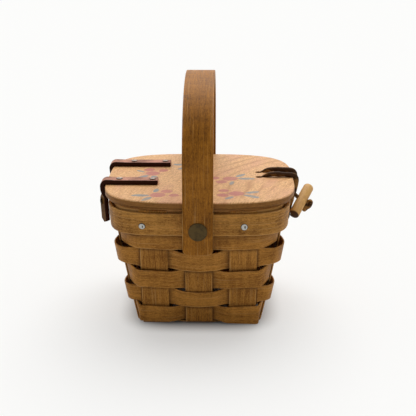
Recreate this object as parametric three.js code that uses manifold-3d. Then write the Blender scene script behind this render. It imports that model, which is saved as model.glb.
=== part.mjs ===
import * as THREE from 'three';
import { mergeVertices } from 'three/addons/utils/BufferGeometryUtils.js';
import Module from 'manifold-3d';

// A small square picnic basket of woven wood splint, with a board lid on leather straps, a lace and
// peg latch, and a bent-wood swing handle. Millimetres, +Z up, standing on z = 0, front towards -Y.

// Clearances
const GAP = 0.3; // between pieces that lie against each other
const HOLE_GAP = 0.3; // round a shank in its hole
const LACE_HOLE_GAP = 0.6; // round the lace in the lid's holes
const SWING_GAP = 0.8; // between the handle's legs and the lid

// Splints and their weave
const SPLINT = 0.9;
const STAKE_WIDTH = 17.6;
const STAKE_CORNER_ROOM = 2.8; // from the outer stakes' edge to the foot's corner
const FOLD_HEIGHT = 3.0; // where a stake's fold into the floor begins
const ROW_FOOT = 3.3; // lower edge of the bottom row where it runs inside the stakes
const ROW_HEIGHTS = [11.9, 13.1, 14.3, 14.6, 12.6]; // from the bottom row up
const ROW_SLIT = 0.4; // between two rows
const ROW_EASE = 0.7; // how far past a stake's edge a row keeps to its side
const ROW_DROOP = 1.6; // how far the bottom row sinks where it runs outside the stakes
const ROW_DROOP_SLANT = 0.7; // share of that added on the right and taken off on the left
const ROW_DIP = 1.2; // how far a row dips at the middle of a side
const ROW_CLIMBS = [1.5, 3]; // how far it climbs to the ends of the front and back, and of the other sides
const CORNER_CLIMB = 1.2; // and from there to the corner
const CLIMB_SHARES = [0, 1, 1, 1, 0.6, 0]; // of that, by the edges of the rows from the lowest up
const CORNER_BULGES = [0.8, 1.8, 2, 2.6, 0]; // how far each row stands out at the corners

// Wall, on the middle of the stakes
const FOOT_HALF = 40.2;
const WALL_FLARE = 0.198; // run outwards for each millimetre of height
const WALL_BELLY = 0.9; // swell of the sides at half height
const FOOT_SQUARENESS = 30;
const RIM_SQUARENESS = 5;

// Rim bands
const BAND_THICKNESS = 2.1;
const BAND_HEIGHT = 14.8;
const BAND_LAP = 1.0; // how far the outer band covers the top row
const INNER_BAND_THICKNESS = 2.0;
const INNER_BAND_RISE = 1.6; // top of the inner band above the outer one
const STAKE_DROP = 0.4; // top of the stakes below the inner band's top

// Lid
const LID_THICKNESS = 5.6;
const LID_SIDE_OVERHANG = 3.0;
const LID_FRONT_OVERHANG = 0.6;
const LID_FRONT_BOW = 3; // a higher power gives a straighter edge
const LID_SIDE_BOW = 4;
const LID_ROUND = 1.2;

// Handle
const HANDLE_WIDTH = 19;
const HANDLE_THICKNESS = 4.5;
const HANDLE_REACH = 88.3; // from the rivets to the top
const HANDLE_CROWN = 49.5; // height of the arched part
const HANDLE_EASE = 0.6; // eased long edges
const LEG_TAIL = 15.9; // leg below the rivet
const LEG_ROUND = 4;

// Rivets and nails
const RIVET_RISE = 5.2; // above the lower edge of the outer band
const RIVET_HEAD = 11.7;
const RIVET_HEAD_HEIGHT = 1.4;
const RIVET_SHANK = 4.2;
const BURR_DIAMETER = 9;
const BURR_THICKNESS = 1;
const NAIL_HEAD = 3.4;
const NAIL_HEAD_HEIGHT = 0.6;
const NAIL_SHANK = 1.6;
const NAIL_BITE = 4; // depth of the strap nails in the lid
const RIM_NAIL_RISE = 6.2; // above the lower edge of the outer band
const RIM_NAIL_INSET = 2.8; // first nail of a side, in from its stake's outer edge

// Hinge straps; straps and latch stand a little behind the lid's middle
const FITTINGS_Y = 4.5;
const STRAP_SPACING = 45;
const STRAP_WIDTH = 8.8;
const STRAP_THICKNESS = 2.8;
const STRAP_RUNS = [34.8, 40]; // front and back strap, from the lid's edge to the cut end
const STRAP_DROP = 27; // below the lid's top
const STRAP_TUCK = 1.2; // how far the hanging end leans in
const STRAP_POINT = 2;
const STRAP_NAIL_END = 3.4; // first nail from the cut end
const STRAP_NAIL_PITCH = 22;
const TACK_DROP = 12.5; // tack below the lid's top

// Latch lace
const LACE = 3.2;
const LACE_SPREAD = 12;
const LACE_RUN = 23; // from its holes to the lid's edge
const LACE_BEND = 2.5; // where it leaves a hole, on the lace's middle
const LACE_WRAP = 60; // degrees over the lid's edge
const LACE_KNOT = 5.8;
const LOOP_HANG = 0.5; // top of the loop below the edge's rounding
const LOOP_DROP = 27;
const LOOP_TUCK = 5.9; // how far the loop hangs in behind the peg

// Toggle peg, lying across the loop, and its tether
const PEG_DIAMETER = 6.3;
const PEG_LENGTH = 29;
const PEG_TURN = 52; // degrees back from upright, on the tether
const PEG_EASE = 0.9;
const PEG_STANDOFF = 6.9; // from the tether's bend to the peg's middle
const TETHER = 2.8;
const TETHER_RISE = 10.2; // above the lower edge of the outer band
const TETHER_DROOP = 42; // degrees below level at the peg
const TETHER_BEND = 6; // radius of that bend
const TETHER_RUN = 1; // from the band to the bend
const TETHER_KNOT = 7.2;

// Facets
const CORNER_STEPS = 5;
const ROUND_SIDES = 16;
const SMALL_SIDES = 10;
const CORD_SIDES = 8;
const LID_SIDES = 72;
const CROWN_STEPS = 20;

const { lerp, degToRad } = THREE.MathUtils;
const SIDES = ['front', 'right', 'back', 'left'];
const STAKES = [-1, 0, 1];

const rowEdges = [ROW_FOOT];
for (const height of ROW_HEIGHTS) {
  rowEdges.push(rowEdges.at(-1) + height);
}
const weaveTop = rowEdges.at(-1);
const bandBottom = weaveTop - BAND_LAP;
const bandTop = bandBottom + BAND_HEIGHT;
const innerBandBottom = weaveTop + GAP;
const innerBandTop = bandTop + INNER_BAND_RISE;
const stakeTop = innerBandTop - STAKE_DROP;
const lidBottom = innerBandTop + GAP;
const lidTop = lidBottom + LID_THICKNESS;
const rivetZ = bandBottom + RIVET_RISE;

// Offsets from the middle of the stakes, outwards
const rowOffset = SPLINT + GAP;
const stakeFace = SPLINT / 2 + GAP;
const rowFace = rowOffset + SPLINT / 2 + GAP;
const innerBandFace = -stakeFace - INNER_BAND_THICKNESS;

const stakeEdge = FOOT_HALF - STAKE_CORNER_ROOM;
const stakePitch = stakeEdge - STAKE_WIDTH / 2;
const stationHalf = STAKE_WIDTH / 2 + ROW_EASE;
const sideEnd = stakePitch + stationHalf;
const rimHalf = FOOT_HALF + WALL_FLARE * stakeTop;
const bandHalf = wallHalf(bandTop) + stakeFace + BAND_THICKNESS;
const lidHalfX = bandHalf + LID_SIDE_OVERHANG;
const lidHalfY = bandHalf + LID_FRONT_OVERHANG;
const legInner = lidHalfY + SWING_GAP;
const legOuter = legInner + HANDLE_THICKNESS;

const wasm = await Module();
wasm.setup();

const splintWood = new THREE.MeshStandardMaterial({ color: 0x8b6234, roughness: 0.62 });
const bandWood = new THREE.MeshStandardMaterial({ color: 0x966a3a, roughness: 0.6 });
const lidWood = new THREE.MeshStandardMaterial({ color: 0xc99a6c, roughness: 0.55 });
const handleWood = new THREE.MeshStandardMaterial({ color: 0x7d5528, roughness: 0.55 });
const pegWood = new THREE.MeshStandardMaterial({ color: 0xcda05f, roughness: 0.5 });
const strapLeather = new THREE.MeshStandardMaterial({ color: 0x4a2417, roughness: 0.6 });
const laceLeather = new THREE.MeshStandardMaterial({ color: 0x3c2814, roughness: 0.65 });
const oldBrass = new THREE.MeshStandardMaterial({ color: 0x483a20, roughness: 0.45, metalness: 0.9 });
const nailSteel = new THREE.MeshStandardMaterial({ color: 0xbec3c3, roughness: 0.35, metalness: 1 });

const basket = new THREE.Group();

function addMesh(name, geometry, material) {
  const mesh = new THREE.Mesh(geometry, material);
  mesh.name = name;
  basket.add(mesh);
  return mesh;
}

// Turns the triangles round if they face inwards.
function facingOut(geometry) {
  const at = geometry.getAttribute('position');
  const index = geometry.getIndex().array;
  const corners = [new THREE.Vector3(), new THREE.Vector3(), new THREE.Vector3()];
  let volume = 0;
  for (let i = 0; i < index.length; i += 3) {
    corners.forEach((corner, k) => corner.fromBufferAttribute(at, index[i + k]));
    volume += corners[0].dot(corners[1].clone().cross(corners[2]));
  }
  if (volume < 0) {
    geometry.setIndex([...index].reverse());
  }
  return geometry;
}

// Skins a row of rings, each with the same even number of points: a closed loop, or a bar with ends.
function loft(rings, loop = false) {
  const count = rings[0].length;
  const index = [];
  const quad = (a, b, c, d) => index.push(a, b, c, a, c, d);
  const spans = loop ? rings.length : rings.length - 1;
  for (let i = 0; i < spans; i += 1) {
    const near = i * count;
    const far = ((i + 1) % rings.length) * count;
    for (let j = 0; j < count; j += 1) {
      const next = (j + 1) % count;
      quad(near + j, near + next, far + next, far + j);
    }
  }
  if (!loop) {
    const last = (rings.length - 1) * count;
    for (let j = 0; j < count / 2 - 1; j += 1) {
      const across = count - 1 - j;
      quad(j, across, across - 1, j + 1);
      quad(last + j, last + j + 1, last + across - 1, last + across);
    }
  }
  const geometry = new THREE.BufferGeometry().setFromPoints(rings.flat());
  geometry.setIndex(index);
  return facingOut(geometry);
}

function toSolid(geometry) {
  const bare = geometry.clone();
  bare.deleteAttribute('normal');
  bare.deleteAttribute('uv');
  const merged = mergeVertices(bare, 1e-4);
  const vertProperties = new Float32Array(merged.getAttribute('position').array);
  const triVerts = new Uint32Array(merged.getIndex().array);
  return new wasm.Manifold(new wasm.Mesh({ numProp: 3, vertProperties, triVerts }));
}

function cut(geometry, cutters) {
  let solid = toSolid(geometry);
  for (const cutter of cutters) {
    solid = solid.subtract(toSolid(cutter));
  }
  const { vertProperties, triVerts } = solid.getMesh();
  const result = new THREE.BufferGeometry();
  result.setAttribute('position', new THREE.BufferAttribute(vertProperties, 3));
  result.setIndex(new THREE.BufferAttribute(triVerts, 1));
  return result;
}

// Turns a geometry made along +Y to a direction and moves it to a point.
function aim(object, point, direction) {
  const turn = new THREE.Quaternion().setFromUnitVectors(new THREE.Vector3(0, 1, 0), direction);
  object.applyQuaternion(turn);
  object.translate(point.x, point.y, point.z);
  return object;
}

// A hole round an axis: from a point, so far along its direction and so far back.
function hole(point, direction, diameter, ahead, back, sides = SMALL_SIDES) {
  const bore = new THREE.CylinderGeometry(diameter / 2, diameter / 2, ahead + back, sides);
  bore.translate(0, (ahead - back) / 2, 0);
  return aim(bore, point, direction);
}

function revolve(profile, sides) {
  const points = profile.map(([radius, height]) => new THREE.Vector2(radius, height));
  return new THREE.LatheGeometry(points, sides);
}

// Wall: a ruled surface from a squarish foot to a rounder rim, on stations round the basket.
function wallShare(z) {
  const share = z / stakeTop;
  return share + (4 * share * (1 - share) * WALL_BELLY) / (rimHalf - FOOT_HALF);
}

function wallHalf(z) {
  return lerp(FOOT_HALF, rimHalf, wallShare(z));
}

function bow(u, half, squareness) {
  return half * (1 - Math.abs(u / half) ** squareness) ** (1 / squareness);
}

function sidePoint(side, u, half, squareness) {
  const turn = (side * Math.PI) / 2;
  return new THREE.Vector2(u, -bow(u, half, squareness)).rotateAround(new THREE.Vector2(), turn);
}

function cornerPoint(side, share, half, squareness) {
  const first = sidePoint(side, sideEnd, half, squareness).angle();
  const last = sidePoint(side + 1, -sideEnd, half, squareness).angle();
  const step = (last - first + 2 * Math.PI) % (2 * Math.PI);
  const angle = first + share * step;
  const spread = Math.abs(Math.cos(angle)) ** squareness + Math.abs(Math.sin(angle)) ** squareness;
  const radius = half / spread ** (1 / squareness);
  return new THREE.Vector2(radius * Math.cos(angle), radius * Math.sin(angle));
}

const stations = [];
SIDES.forEach((name, side) => {
  for (const stake of STAKES) {
    for (const edge of [-1, 0, 1]) {
      const u = stake * stakePitch + edge * stationHalf;
      const foot = sidePoint(side, u, FOOT_HALF, FOOT_SQUARENESS);
      const rim = sidePoint(side, u, rimHalf, RIM_SQUARENESS);
      stations.push({ side, stake, u, foot, rim });
    }
  }
  for (let step = 1; step < CORNER_STEPS; step += 1) {
    const share = step / CORNER_STEPS;
    const foot = cornerPoint(side, share, FOOT_HALF, FOOT_SQUARENESS);
    const rim = cornerPoint(side, share, rimHalf, RIM_SQUARENESS);
    stations.push({ side, share, foot, rim });
  }
});

function wallPlan(i, z) {
  const { foot, rim } = stations[(i + stations.length) % stations.length];
  return foot.clone().lerp(rim, wallShare(z));
}

// A point of the wall at a station and a height, moved outwards by an offset.
function wallPoint(i, z, offset) {
  const here = wallPlan(i, z);
  const before = here.clone().sub(wallPlan(i - 1, z)).normalize();
  const after = wallPlan(i + 1, z).sub(here).normalize();
  const along = before.clone().add(after).normalize();
  const out = new THREE.Vector2(along.y, -along.x);
  const reach = offset / Math.max(0.5, along.dot(after));
  return new THREE.Vector3(here.x + out.x * reach, here.y + out.y * reach, z);
}

// Weaver rows: each runs outside every second stake and changes sides from row to row.
function runsOutside(side, stake, level) {
  return (side + stake + level) % 2 !== 0;
}

// How far a row arches off the corner stake that it runs outside of, and off the corner beside it
function standOff({ side, stake, u, share }, level) {
  const bulge = CORNER_BULGES[level];
  if (stake === undefined) {
    const near = runsOutside(side + 1, -1, level) ? share : 1 - share;
    return bulge * Math.sin((near * Math.PI) / 2) ** 1.5;
  }
  if (stake === 0 || !runsOutside(side, stake, level)) {
    return 0;
  }
  const past = (u * stake - stakePitch + stationHalf) / (2 * stationHalf);
  return bulge * Math.sin((past * Math.PI) / 2) ** 0.7;
}

// How far outside the stakes a row lies: 0 behind them, 1 in front of them
function outsideShare({ side, stake, share }, level) {
  if (stake !== undefined) {
    return runsOutside(side, stake, level) ? 1 : 0;
  }
  const near = runsOutside(side + 1, -1, level) ? share : 1 - share;
  return Math.min(1, near * 2);
}

// Rows dip at the middle of a side and climb to the corners, as straight splints do on a flared wall.
function rowClimb({ side, u, share }) {
  const climb = ROW_CLIMBS[side % 2];
  if (u === undefined) {
    return lerp(climb, ROW_CLIMBS[(side + 1) % 2], share) + CORNER_CLIMB * Math.sin(share * Math.PI);
  }
  return lerp(-ROW_DIP, climb, Math.sin((Math.PI * Math.abs(u)) / (2 * sideEnd)) ** 1.3);
}

function weaverRow(level) {
  const rings = stations.map((station, i) => {
    const outside = outsideShare(station, level);
    const offset = rowOffset * (2 * outside - 1) + standOff(station, level);
    const slant = 1 + (ROW_DROOP_SLANT * station.foot.x) / FOOT_HALF;
    const sink = level === 0 ? ROW_DROOP * outside * slant : 0;
    const climb = rowClimb(station);
    const bottom = rowEdges[level] + ROW_SLIT / 2 + climb * CLIMB_SHARES[level] - sink;
    const top = rowEdges[level + 1] - ROW_SLIT / 2 + climb * CLIMB_SHARES[level + 1];
    const outer = offset + SPLINT / 2;
    const inner = offset - SPLINT / 2;
    return [
      wallPoint(i, bottom, outer),
      wallPoint(i, top, outer),
      wallPoint(i, top, inner),
      wallPoint(i, bottom, inner),
    ];
  });
  return loft(rings, true);
}

// Stakes: a splint folded up at both ends, woven through the others in the floor.
function stakePath(v, across, stake) {
  const wallRun = (z) => {
    const foot = bow(v, FOOT_HALF, FOOT_SQUARENESS);
    const rim = bow(v, rimHalf, RIM_SQUARENESS);
    return lerp(foot, rim, wallShare(z));
  };
  const level = (crossing) => {
    const over = (stake + crossing + across) % 2 !== 0;
    return SPLINT / 2 + (over ? SPLINT + GAP : 0);
  };
  const floor = STAKES.flatMap((crossing) =>
    [-1, 1].map((edge) => {
      const run = crossing * stakePitch + (edge * STAKE_WIDTH) / 2;
      return new THREE.Vector2(run, level(crossing));
    })
  );
  const fold = (end, way) => {
    const start = new THREE.Vector2(way * wallRun(FOLD_HEIGHT), FOLD_HEIGHT);
    const middle = new THREE.Vector2(way * wallRun(0), end.y);
    return new THREE.QuadraticBezierCurve(start, middle, end).getPoints(3).slice(0, 3);
  };
  const heights = [stakeTop, ...rowEdges.slice(1).reverse()];
  const wall = (way) => heights.map((z) => new THREE.Vector2(way * wallRun(z), z));
  const down = [...wall(-1), ...fold(floor[0], -1)];
  const up = [...wall(1), ...fold(floor.at(-1), 1)].reverse();
  return [...down, ...floor, ...up];
}

// Moves a path sideways by an offset, keeping its stretches parallel.
function offsetPath(path, offset) {
  return path.map((here, i) => {
    const before = here.clone().sub(path[i - 1] ?? path[i]).normalize();
    const after = (path[i + 1] ?? path[i]).clone().sub(here).normalize();
    const along = before.clone().add(after).normalize();
    const reach = offset / along.dot(i === 0 ? after : before);
    return new THREE.Vector2(here.x - along.y * reach, here.y + along.x * reach);
  });
}

function stakeStrip(across, stake) {
  const lines = [-1, 0, 1].map((edge) => {
    const v = stake * stakePitch + (edge * STAKE_WIDTH) / 2;
    const path = stakePath(v, across, stake);
    const place = ({ x: run, y: z }) =>
      across ? new THREE.Vector3(run, v, z) : new THREE.Vector3(v, run, z);
    return {
      inner: offsetPath(path, SPLINT / 2).map(place),
      outer: offsetPath(path, -SPLINT / 2).map(place),
    };
  });
  const rings = lines[0].inner.map((_, i) => [
    ...lines.map((line) => line.inner[i]),
    ...lines.map((line) => line.outer[i]).reverse(),
  ]);
  return loft(rings);
}

// Rim bands: the outer one leans from the top row's face to the stakes' face.
function bandFace(z) {
  return lerp(rowFace, stakeFace, (z - bandBottom) / BAND_HEIGHT) + BAND_THICKNESS;
}

function outerBand() {
  const rings = stations.map((_, i) => [
    wallPoint(i, bandBottom, bandFace(bandBottom)),
    wallPoint(i, bandTop, bandFace(bandTop)),
    wallPoint(i, bandTop, bandFace(bandTop) - BAND_THICKNESS),
    wallPoint(i, bandBottom, bandFace(bandBottom) - BAND_THICKNESS),
  ]);
  return loft(rings, true);
}

function innerBand() {
  const rings = stations.map((_, i) => [
    wallPoint(i, innerBandBottom, -stakeFace),
    wallPoint(i, innerBandTop, -stakeFace),
    wallPoint(i, innerBandTop, innerBandFace),
    wallPoint(i, innerBandBottom, innerBandFace),
  ]);
  return loft(rings, true);
}

// Where an axis square to one side of the basket meets the outer band.
function onBand(side, u, z) {
  const face = bandFace(z);
  const first = stations.findIndex((s) => s.side === side && s.stake !== undefined);
  const turn = (side * Math.PI) / 2;
  const centre = new THREE.Vector2();
  const local = (i) => {
    const point = wallPoint(i, z, face);
    return new THREE.Vector2(point.x, point.y).rotateAround(centre, -turn);
  };
  let i = first;
  while (local(i + 1).x < u) {
    i += 1;
  }
  const a = local(i);
  const b = local(i + 1);
  const share = (u - a.x) / (b.x - a.x);
  const along = b.clone().sub(a).normalize().rotateAround(centre, turn);
  const place = a.lerp(b, share).rotateAround(centre, turn);
  return {
    point: new THREE.Vector3(place.x, place.y, z),
    out: new THREE.Vector3(along.y, -along.x, 0),
  };
}

// A driven nail: a shallow domed head over a straight shank, made along +Y from under its head.
function nail(length) {
  const head = NAIL_HEAD / 2;
  const shank = NAIL_SHANK / 2;
  const profile = [
    [0, -length],
    [shank, -length],
    [shank, 0],
    [head, 0],
    [head * 0.92, NAIL_HEAD_HEIGHT * 0.6],
    [0, NAIL_HEAD_HEIGHT],
  ];
  return revolve(profile, SMALL_SIDES);
}

// Lean of the wall and of the outer band, which level heads have to clear
const wallLean = (wallHalf(bandTop) - wallHalf(bandBottom)) / BAND_HEIGHT;
const bandLean = wallLean - (rowFace - stakeFace) / BAND_HEIGHT;
const nailSeat = GAP + (Math.abs(bandLean) * NAIL_HEAD) / 2;
const bandHoles = [];

// Rim nails, two on each side, in its outer stakes
const rimNails = [];
const rimNailZ = bandBottom + RIM_NAIL_RISE;
const rimNailBite = bandFace(rimNailZ) - innerBandFace;
SIDES.forEach((name, side) => {
  const places = [RIM_NAIL_INSET - stakeEdge, stakePitch];
  places.forEach((u, n) => {
    const { point, out } = onBand(side, u, rimNailZ);
    bandHoles.push(hole(point, out, NAIL_SHANK + 2 * HOLE_GAP, NAIL_HEAD, 2 * rimNailBite));
    const seat = point.clone().addScaledVector(out, nailSeat);
    rimNails.push({ name: `rim_nail_${name}_${n + 1}`, shape: aim(nail(rimNailBite), seat, out) });
  });
});

// Handle rivets through leg, bands and stake, with a burr under each tail
const burrSeat = GAP + (Math.abs(wallLean) * BURR_DIAMETER) / 2;
const innerFaceY = wallHalf(rivetZ) + innerBandFace;
const burrOuterY = innerFaceY - burrSeat;
const rivetHeadY = legOuter + GAP;
const rivetTailY = burrOuterY - BURR_THICKNESS - GAP;

function rivet() {
  const head = RIVET_HEAD / 2;
  const shank = RIVET_SHANK / 2;
  const profile = [
    [0, rivetTailY],
    [shank, rivetTailY],
    [shank, rivetHeadY],
    [head, rivetHeadY],
    [head, rivetHeadY + RIVET_HEAD_HEIGHT * 0.6],
    [head * 0.86, rivetHeadY + RIVET_HEAD_HEIGHT],
    [0, rivetHeadY + RIVET_HEAD_HEIGHT],
  ];
  return revolve(profile, ROUND_SIDES);
}

function burr() {
  const bore = RIVET_SHANK / 2 + HOLE_GAP;
  const rim = BURR_DIAMETER / 2;
  const back = burrOuterY - BURR_THICKNESS;
  const profile = [
    [bore, back],
    [rim, back],
    [rim, burrOuterY],
    [bore, burrOuterY],
    [bore, back],
  ];
  return revolve(profile, ROUND_SIDES);
}

const rivetAxes = { front: new THREE.Vector3(0, -1, 0), back: new THREE.Vector3(0, 1, 0) };
const rivetCentre = new THREE.Vector3(0, 0, rivetZ);
const rivetBore = RIVET_SHANK + 2 * HOLE_GAP;
const rivetHoles = Object.values(rivetAxes).map((axis) => {
  const bore = hole(new THREE.Vector3(), new THREE.Vector3(0, 1, 0), rivetBore, rivetHeadY, -rivetTailY);
  return aim(bore, rivetCentre, axis);
});

// Lid: a board whose outline is a rounded square, a little wider than deep
function lidEdgeX(y) {
  return lidHalfX * (1 - Math.abs(y / lidHalfY) ** LID_SIDE_BOW) ** (1 / LID_FRONT_BOW);
}

function lidRing(z, inset) {
  return Array.from({ length: LID_SIDES }, (_, i) => {
    const angle = (2 * Math.PI * (i + 0.5)) / LID_SIDES;
    const x = Math.sign(Math.cos(angle)) * Math.abs(Math.cos(angle)) ** (2 / LID_FRONT_BOW);
    const y = Math.sign(Math.sin(angle)) * Math.abs(Math.sin(angle)) ** (2 / LID_SIDE_BOW);
    return new THREE.Vector3(x * (lidHalfX - inset), y * (lidHalfY - inset), z);
  });
}

function lidBlank() {
  const eased = LID_ROUND * (1 - Math.SQRT1_2);
  return loft([
    lidRing(lidBottom, LID_ROUND / 2),
    lidRing(lidBottom + LID_ROUND / 2, 0),
    lidRing(lidTop - LID_ROUND, 0),
    lidRing(lidTop - eased, eased),
    lidRing(lidTop, LID_ROUND),
  ]);
}

// Hinge straps: a strip along the lid, round its edge and down outside the band
const straps = ['front', 'back'].map((name, i) => {
  const y = FITTINGS_Y + (i - 0.5) * STRAP_SPACING;
  const nearest = Math.max(0, Math.abs(y) - STRAP_WIDTH / 2);
  const edge = -lidEdgeX(nearest);
  return { name, y, edge, end: edge + STRAP_RUNS[i] };
});

function strapBlank({ y, edge, end }) {
  const inner = LID_ROUND + GAP;
  const outer = inner + STRAP_THICKNESS;
  const centreX = edge + LID_ROUND;
  const centreZ = lidTop - LID_ROUND;
  const tip = lidTop - STRAP_DROP;
  const shape = new THREE.Shape();
  shape.moveTo(end, centreZ + inner);
  shape.lineTo(centreX, centreZ + inner);
  shape.absarc(centreX, centreZ, inner, Math.PI / 2, Math.PI, false);
  shape.lineTo(centreX - inner, lidBottom);
  shape.lineTo(centreX - inner + STRAP_TUCK, tip + STRAP_POINT);
  shape.lineTo(centreX - (inner + outer) / 2 + STRAP_TUCK, tip);
  shape.lineTo(centreX - outer + STRAP_TUCK, tip + STRAP_POINT);
  shape.lineTo(centreX - outer, lidBottom);
  shape.absarc(centreX, centreZ, outer, Math.PI, Math.PI / 2, true);
  shape.lineTo(end, centreZ + outer);
  const strip = new THREE.ExtrudeGeometry(shape, {
    depth: STRAP_WIDTH,
    bevelEnabled: false,
    curveSegments: 6,
  });
  return strip.rotateX(Math.PI / 2).translate(0, y + STRAP_WIDTH / 2, 0);
}

const up = new THREE.Vector3(0, 0, 1);
const toLeft = new THREE.Vector3(-1, 0, 0);
const toRight = new THREE.Vector3(1, 0, 0);
const nailBore = NAIL_SHANK + 2 * HOLE_GAP;
const strapTop = lidTop + GAP + STRAP_THICKNESS;
const lidHoles = [];

for (const strap of straps) {
  const { name, y, edge, end } = strap;
  const places = { inner: end - STRAP_NAIL_END, outer: end - STRAP_NAIL_END - STRAP_NAIL_PITCH };
  const length = NAIL_BITE + STRAP_THICKNESS + 2 * GAP;
  strap.holes = [];
  strap.nails = Object.entries(places).map(([place, x]) => {
    const seat = new THREE.Vector3(x, y, strapTop + GAP);
    const bore = hole(seat, up, nailBore, NAIL_HEAD, length + GAP);
    strap.holes.push(bore);
    lidHoles.push(bore);
    return { name: `strap_nail_${name}_${place}`, shape: aim(nail(length), seat, up) };
  });
  const tackZ = lidTop - TACK_DROP;
  const lean = (STRAP_TUCK * (lidBottom - tackZ)) / (STRAP_DROP - LID_THICKNESS - STRAP_POINT);
  const faceX = edge - GAP - STRAP_THICKNESS + lean;
  const seat = new THREE.Vector3(faceX - GAP - (NAIL_HEAD * STRAP_TUCK) / STRAP_DROP, y, tackZ);
  const band = onBand(3, -y, tackZ).point;
  const bite = band.x - seat.x + BAND_THICKNESS;
  const bore = hole(seat, toLeft, nailBore, NAIL_HEAD, bite + GAP);
  strap.holes.push(bore);
  strap.bandHole = bore;
  strap.tack = { name: `strap_tack_${name}`, shape: aim(nail(bite), seat, toLeft) };
}

// A round cord along a path, with a radius at each point; the path never runs along the given normal
function cord(path, radii, normal) {
  const rings = path.map((here, i) => {
    const along = (path[i + 1] ?? here).clone().sub(path[i - 1] ?? here).normalize();
    const side = normal.clone().cross(along).normalize();
    const over = along.clone().cross(side);
    return Array.from({ length: CORD_SIDES }, (_, k) => {
      const angle = (2 * Math.PI * (k + 0.5)) / CORD_SIDES;
      return here
        .clone()
        .addScaledVector(side, Math.cos(angle) * radii[i])
        .addScaledVector(over, Math.sin(angle) * radii[i]);
    });
  });
  return loft(rings);
}

// A knot at a cord's end: how far out each of its rings lies, and the ring's radius
function knotRings(size) {
  return [
    [0.15, 0.75],
    [0.45, 1],
    [0.75, 0.75],
    [0.9, 0.3],
  ].map(([out, share]) => [out * size, (share * size) / 2]);
}

// Latch lace: two strands on the lid, knotted below it, and the loop that hangs from them
const laceRadius = LACE / 2;
const lacePlaces = { front: FITTINGS_Y - LACE_SPREAD / 2, back: FITTINGS_Y + LACE_SPREAD / 2 };
const laceEdge = lidEdgeX(Math.min(...Object.values(lacePlaces).map(Math.abs)));
const laceHoleX = laceEdge - LACE_RUN;
const wrapRadius = LID_ROUND + GAP + laceRadius;
const wrapX = laceEdge - LID_ROUND;
const wrapZ = lidTop - LID_ROUND;
const loopX = wrapX + wrapRadius;
const loopZ = wrapZ - LOOP_HANG;
const across = new THREE.Vector3(0, 1, 0);

function laceStrand(y) {
  const knotTop = lidBottom - GAP;
  const knot = knotRings(LACE_KNOT).map(([out, radius]) => [laceHoleX, knotTop - out, radius]);
  const bendX = laceHoleX + LACE_BEND;
  const bendZ = wrapZ + wrapRadius - LACE_BEND;
  const turn = (x, z, radius, degrees) => {
    const angle = degToRad(degrees);
    return [x + radius * Math.sin(angle), z + radius * Math.cos(angle), laceRadius];
  };
  const bend = [-90, -60, -30, 0].map((degrees) => turn(bendX, bendZ, LACE_BEND, degrees));
  const wrap = [0, 0.5, 1].map((share) => turn(wrapX, wrapZ, wrapRadius, share * LACE_WRAP));
  const places = [...knot.reverse(), [laceHoleX, knotTop, laceRadius], ...bend, ...wrap];
  const path = places.map(([x, z]) => new THREE.Vector3(x, y, z));
  return cord(path, places.map(([, , radius]) => radius), across);
}

function latchLoop() {
  const half = LACE_SPREAD / 2;
  const lidDrop = loopZ - lidBottom;
  const at = (drop, side) => {
    const tuck = (LOOP_TUCK * Math.max(0, drop - lidDrop)) / (LOOP_DROP - lidDrop);
    return new THREE.Vector3(loopX - tuck, FITTINGS_Y + side, loopZ - drop);
  };
  const ends = [
    [-0.94, 0.34],
    [-0.7, 0.71],
    [0, 1],
  ].map(([drop, share]) => [drop * laceRadius, share * laceRadius]);
  const legs = [...ends, [lidDrop, laceRadius]];
  const bight = Array.from({ length: 9 }, (_, i) => {
    const angle = (i * Math.PI) / 8;
    return at(LOOP_DROP - half + half * Math.sin(angle), -half * Math.cos(angle));
  });
  const path = [
    ...legs.map(([drop]) => at(drop, -half)),
    ...bight,
    ...legs.map(([drop]) => at(drop, half)).reverse(),
  ];
  const tips = legs.map(([, radius]) => radius);
  const radii = [...tips, ...bight.map(() => laceRadius), ...tips.toReversed()];
  return cord(path, radii, toRight);
}

for (const y of Object.values(lacePlaces)) {
  const place = new THREE.Vector3(laceHoleX, y, lidTop);
  lidHoles.push(hole(place, up, LACE + 2 * LACE_HOLE_GAP, GAP, LID_THICKNESS + GAP));
}

// Toggle: a dowel peg on a knotted tether that comes level out of the band and droops
const droop = degToRad(TETHER_DROOP);
const tetherOut = new THREE.Vector3(Math.cos(droop), 0, -Math.sin(droop));
const pegUpright = new THREE.Vector3(Math.sin(droop), 0, Math.cos(droop));
const pegAxis = pegUpright.applyAxisAngle(tetherOut, -degToRad(PEG_TURN));
const tetherFoot = onBand(1, FITTINGS_Y, bandBottom + TETHER_RISE).point;
const tetherBend = [0, 1 / 3, 2 / 3, 1].map((share) => {
  const angle = share * droop;
  const run = TETHER_RUN + TETHER_BEND * Math.sin(angle);
  const drop = TETHER_BEND * (1 - Math.cos(angle));
  return tetherFoot.clone().add(new THREE.Vector3(run, 0, -drop));
});
const pegPivot = tetherBend.at(-1).clone().addScaledVector(tetherOut, PEG_STANDOFF);

function tether() {
  const seat = GAP + (Math.abs(wallLean) * TETHER_KNOT) / 2;
  const depth = bandFace(tetherFoot.z) - innerBandFace + seat;
  const back = tetherFoot.clone().addScaledVector(toRight, -depth);
  const front = pegPivot.clone().addScaledVector(tetherOut, PEG_DIAMETER / 2 + GAP);
  const knot = knotRings(TETHER_KNOT);
  const path = [
    ...knot.map(([out]) => back.clone().addScaledVector(toRight, -out)).reverse(),
    back,
    ...tetherBend,
    front,
    ...knot.map(([out]) => front.clone().addScaledVector(tetherOut, out)),
  ];
  const ends = knot.map(([, radius]) => radius);
  const radius = TETHER / 2;
  const radii = [...ends.toReversed(), radius, ...tetherBend.map(() => radius), radius, ...ends];
  return cord(path, radii, across);
}

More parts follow.
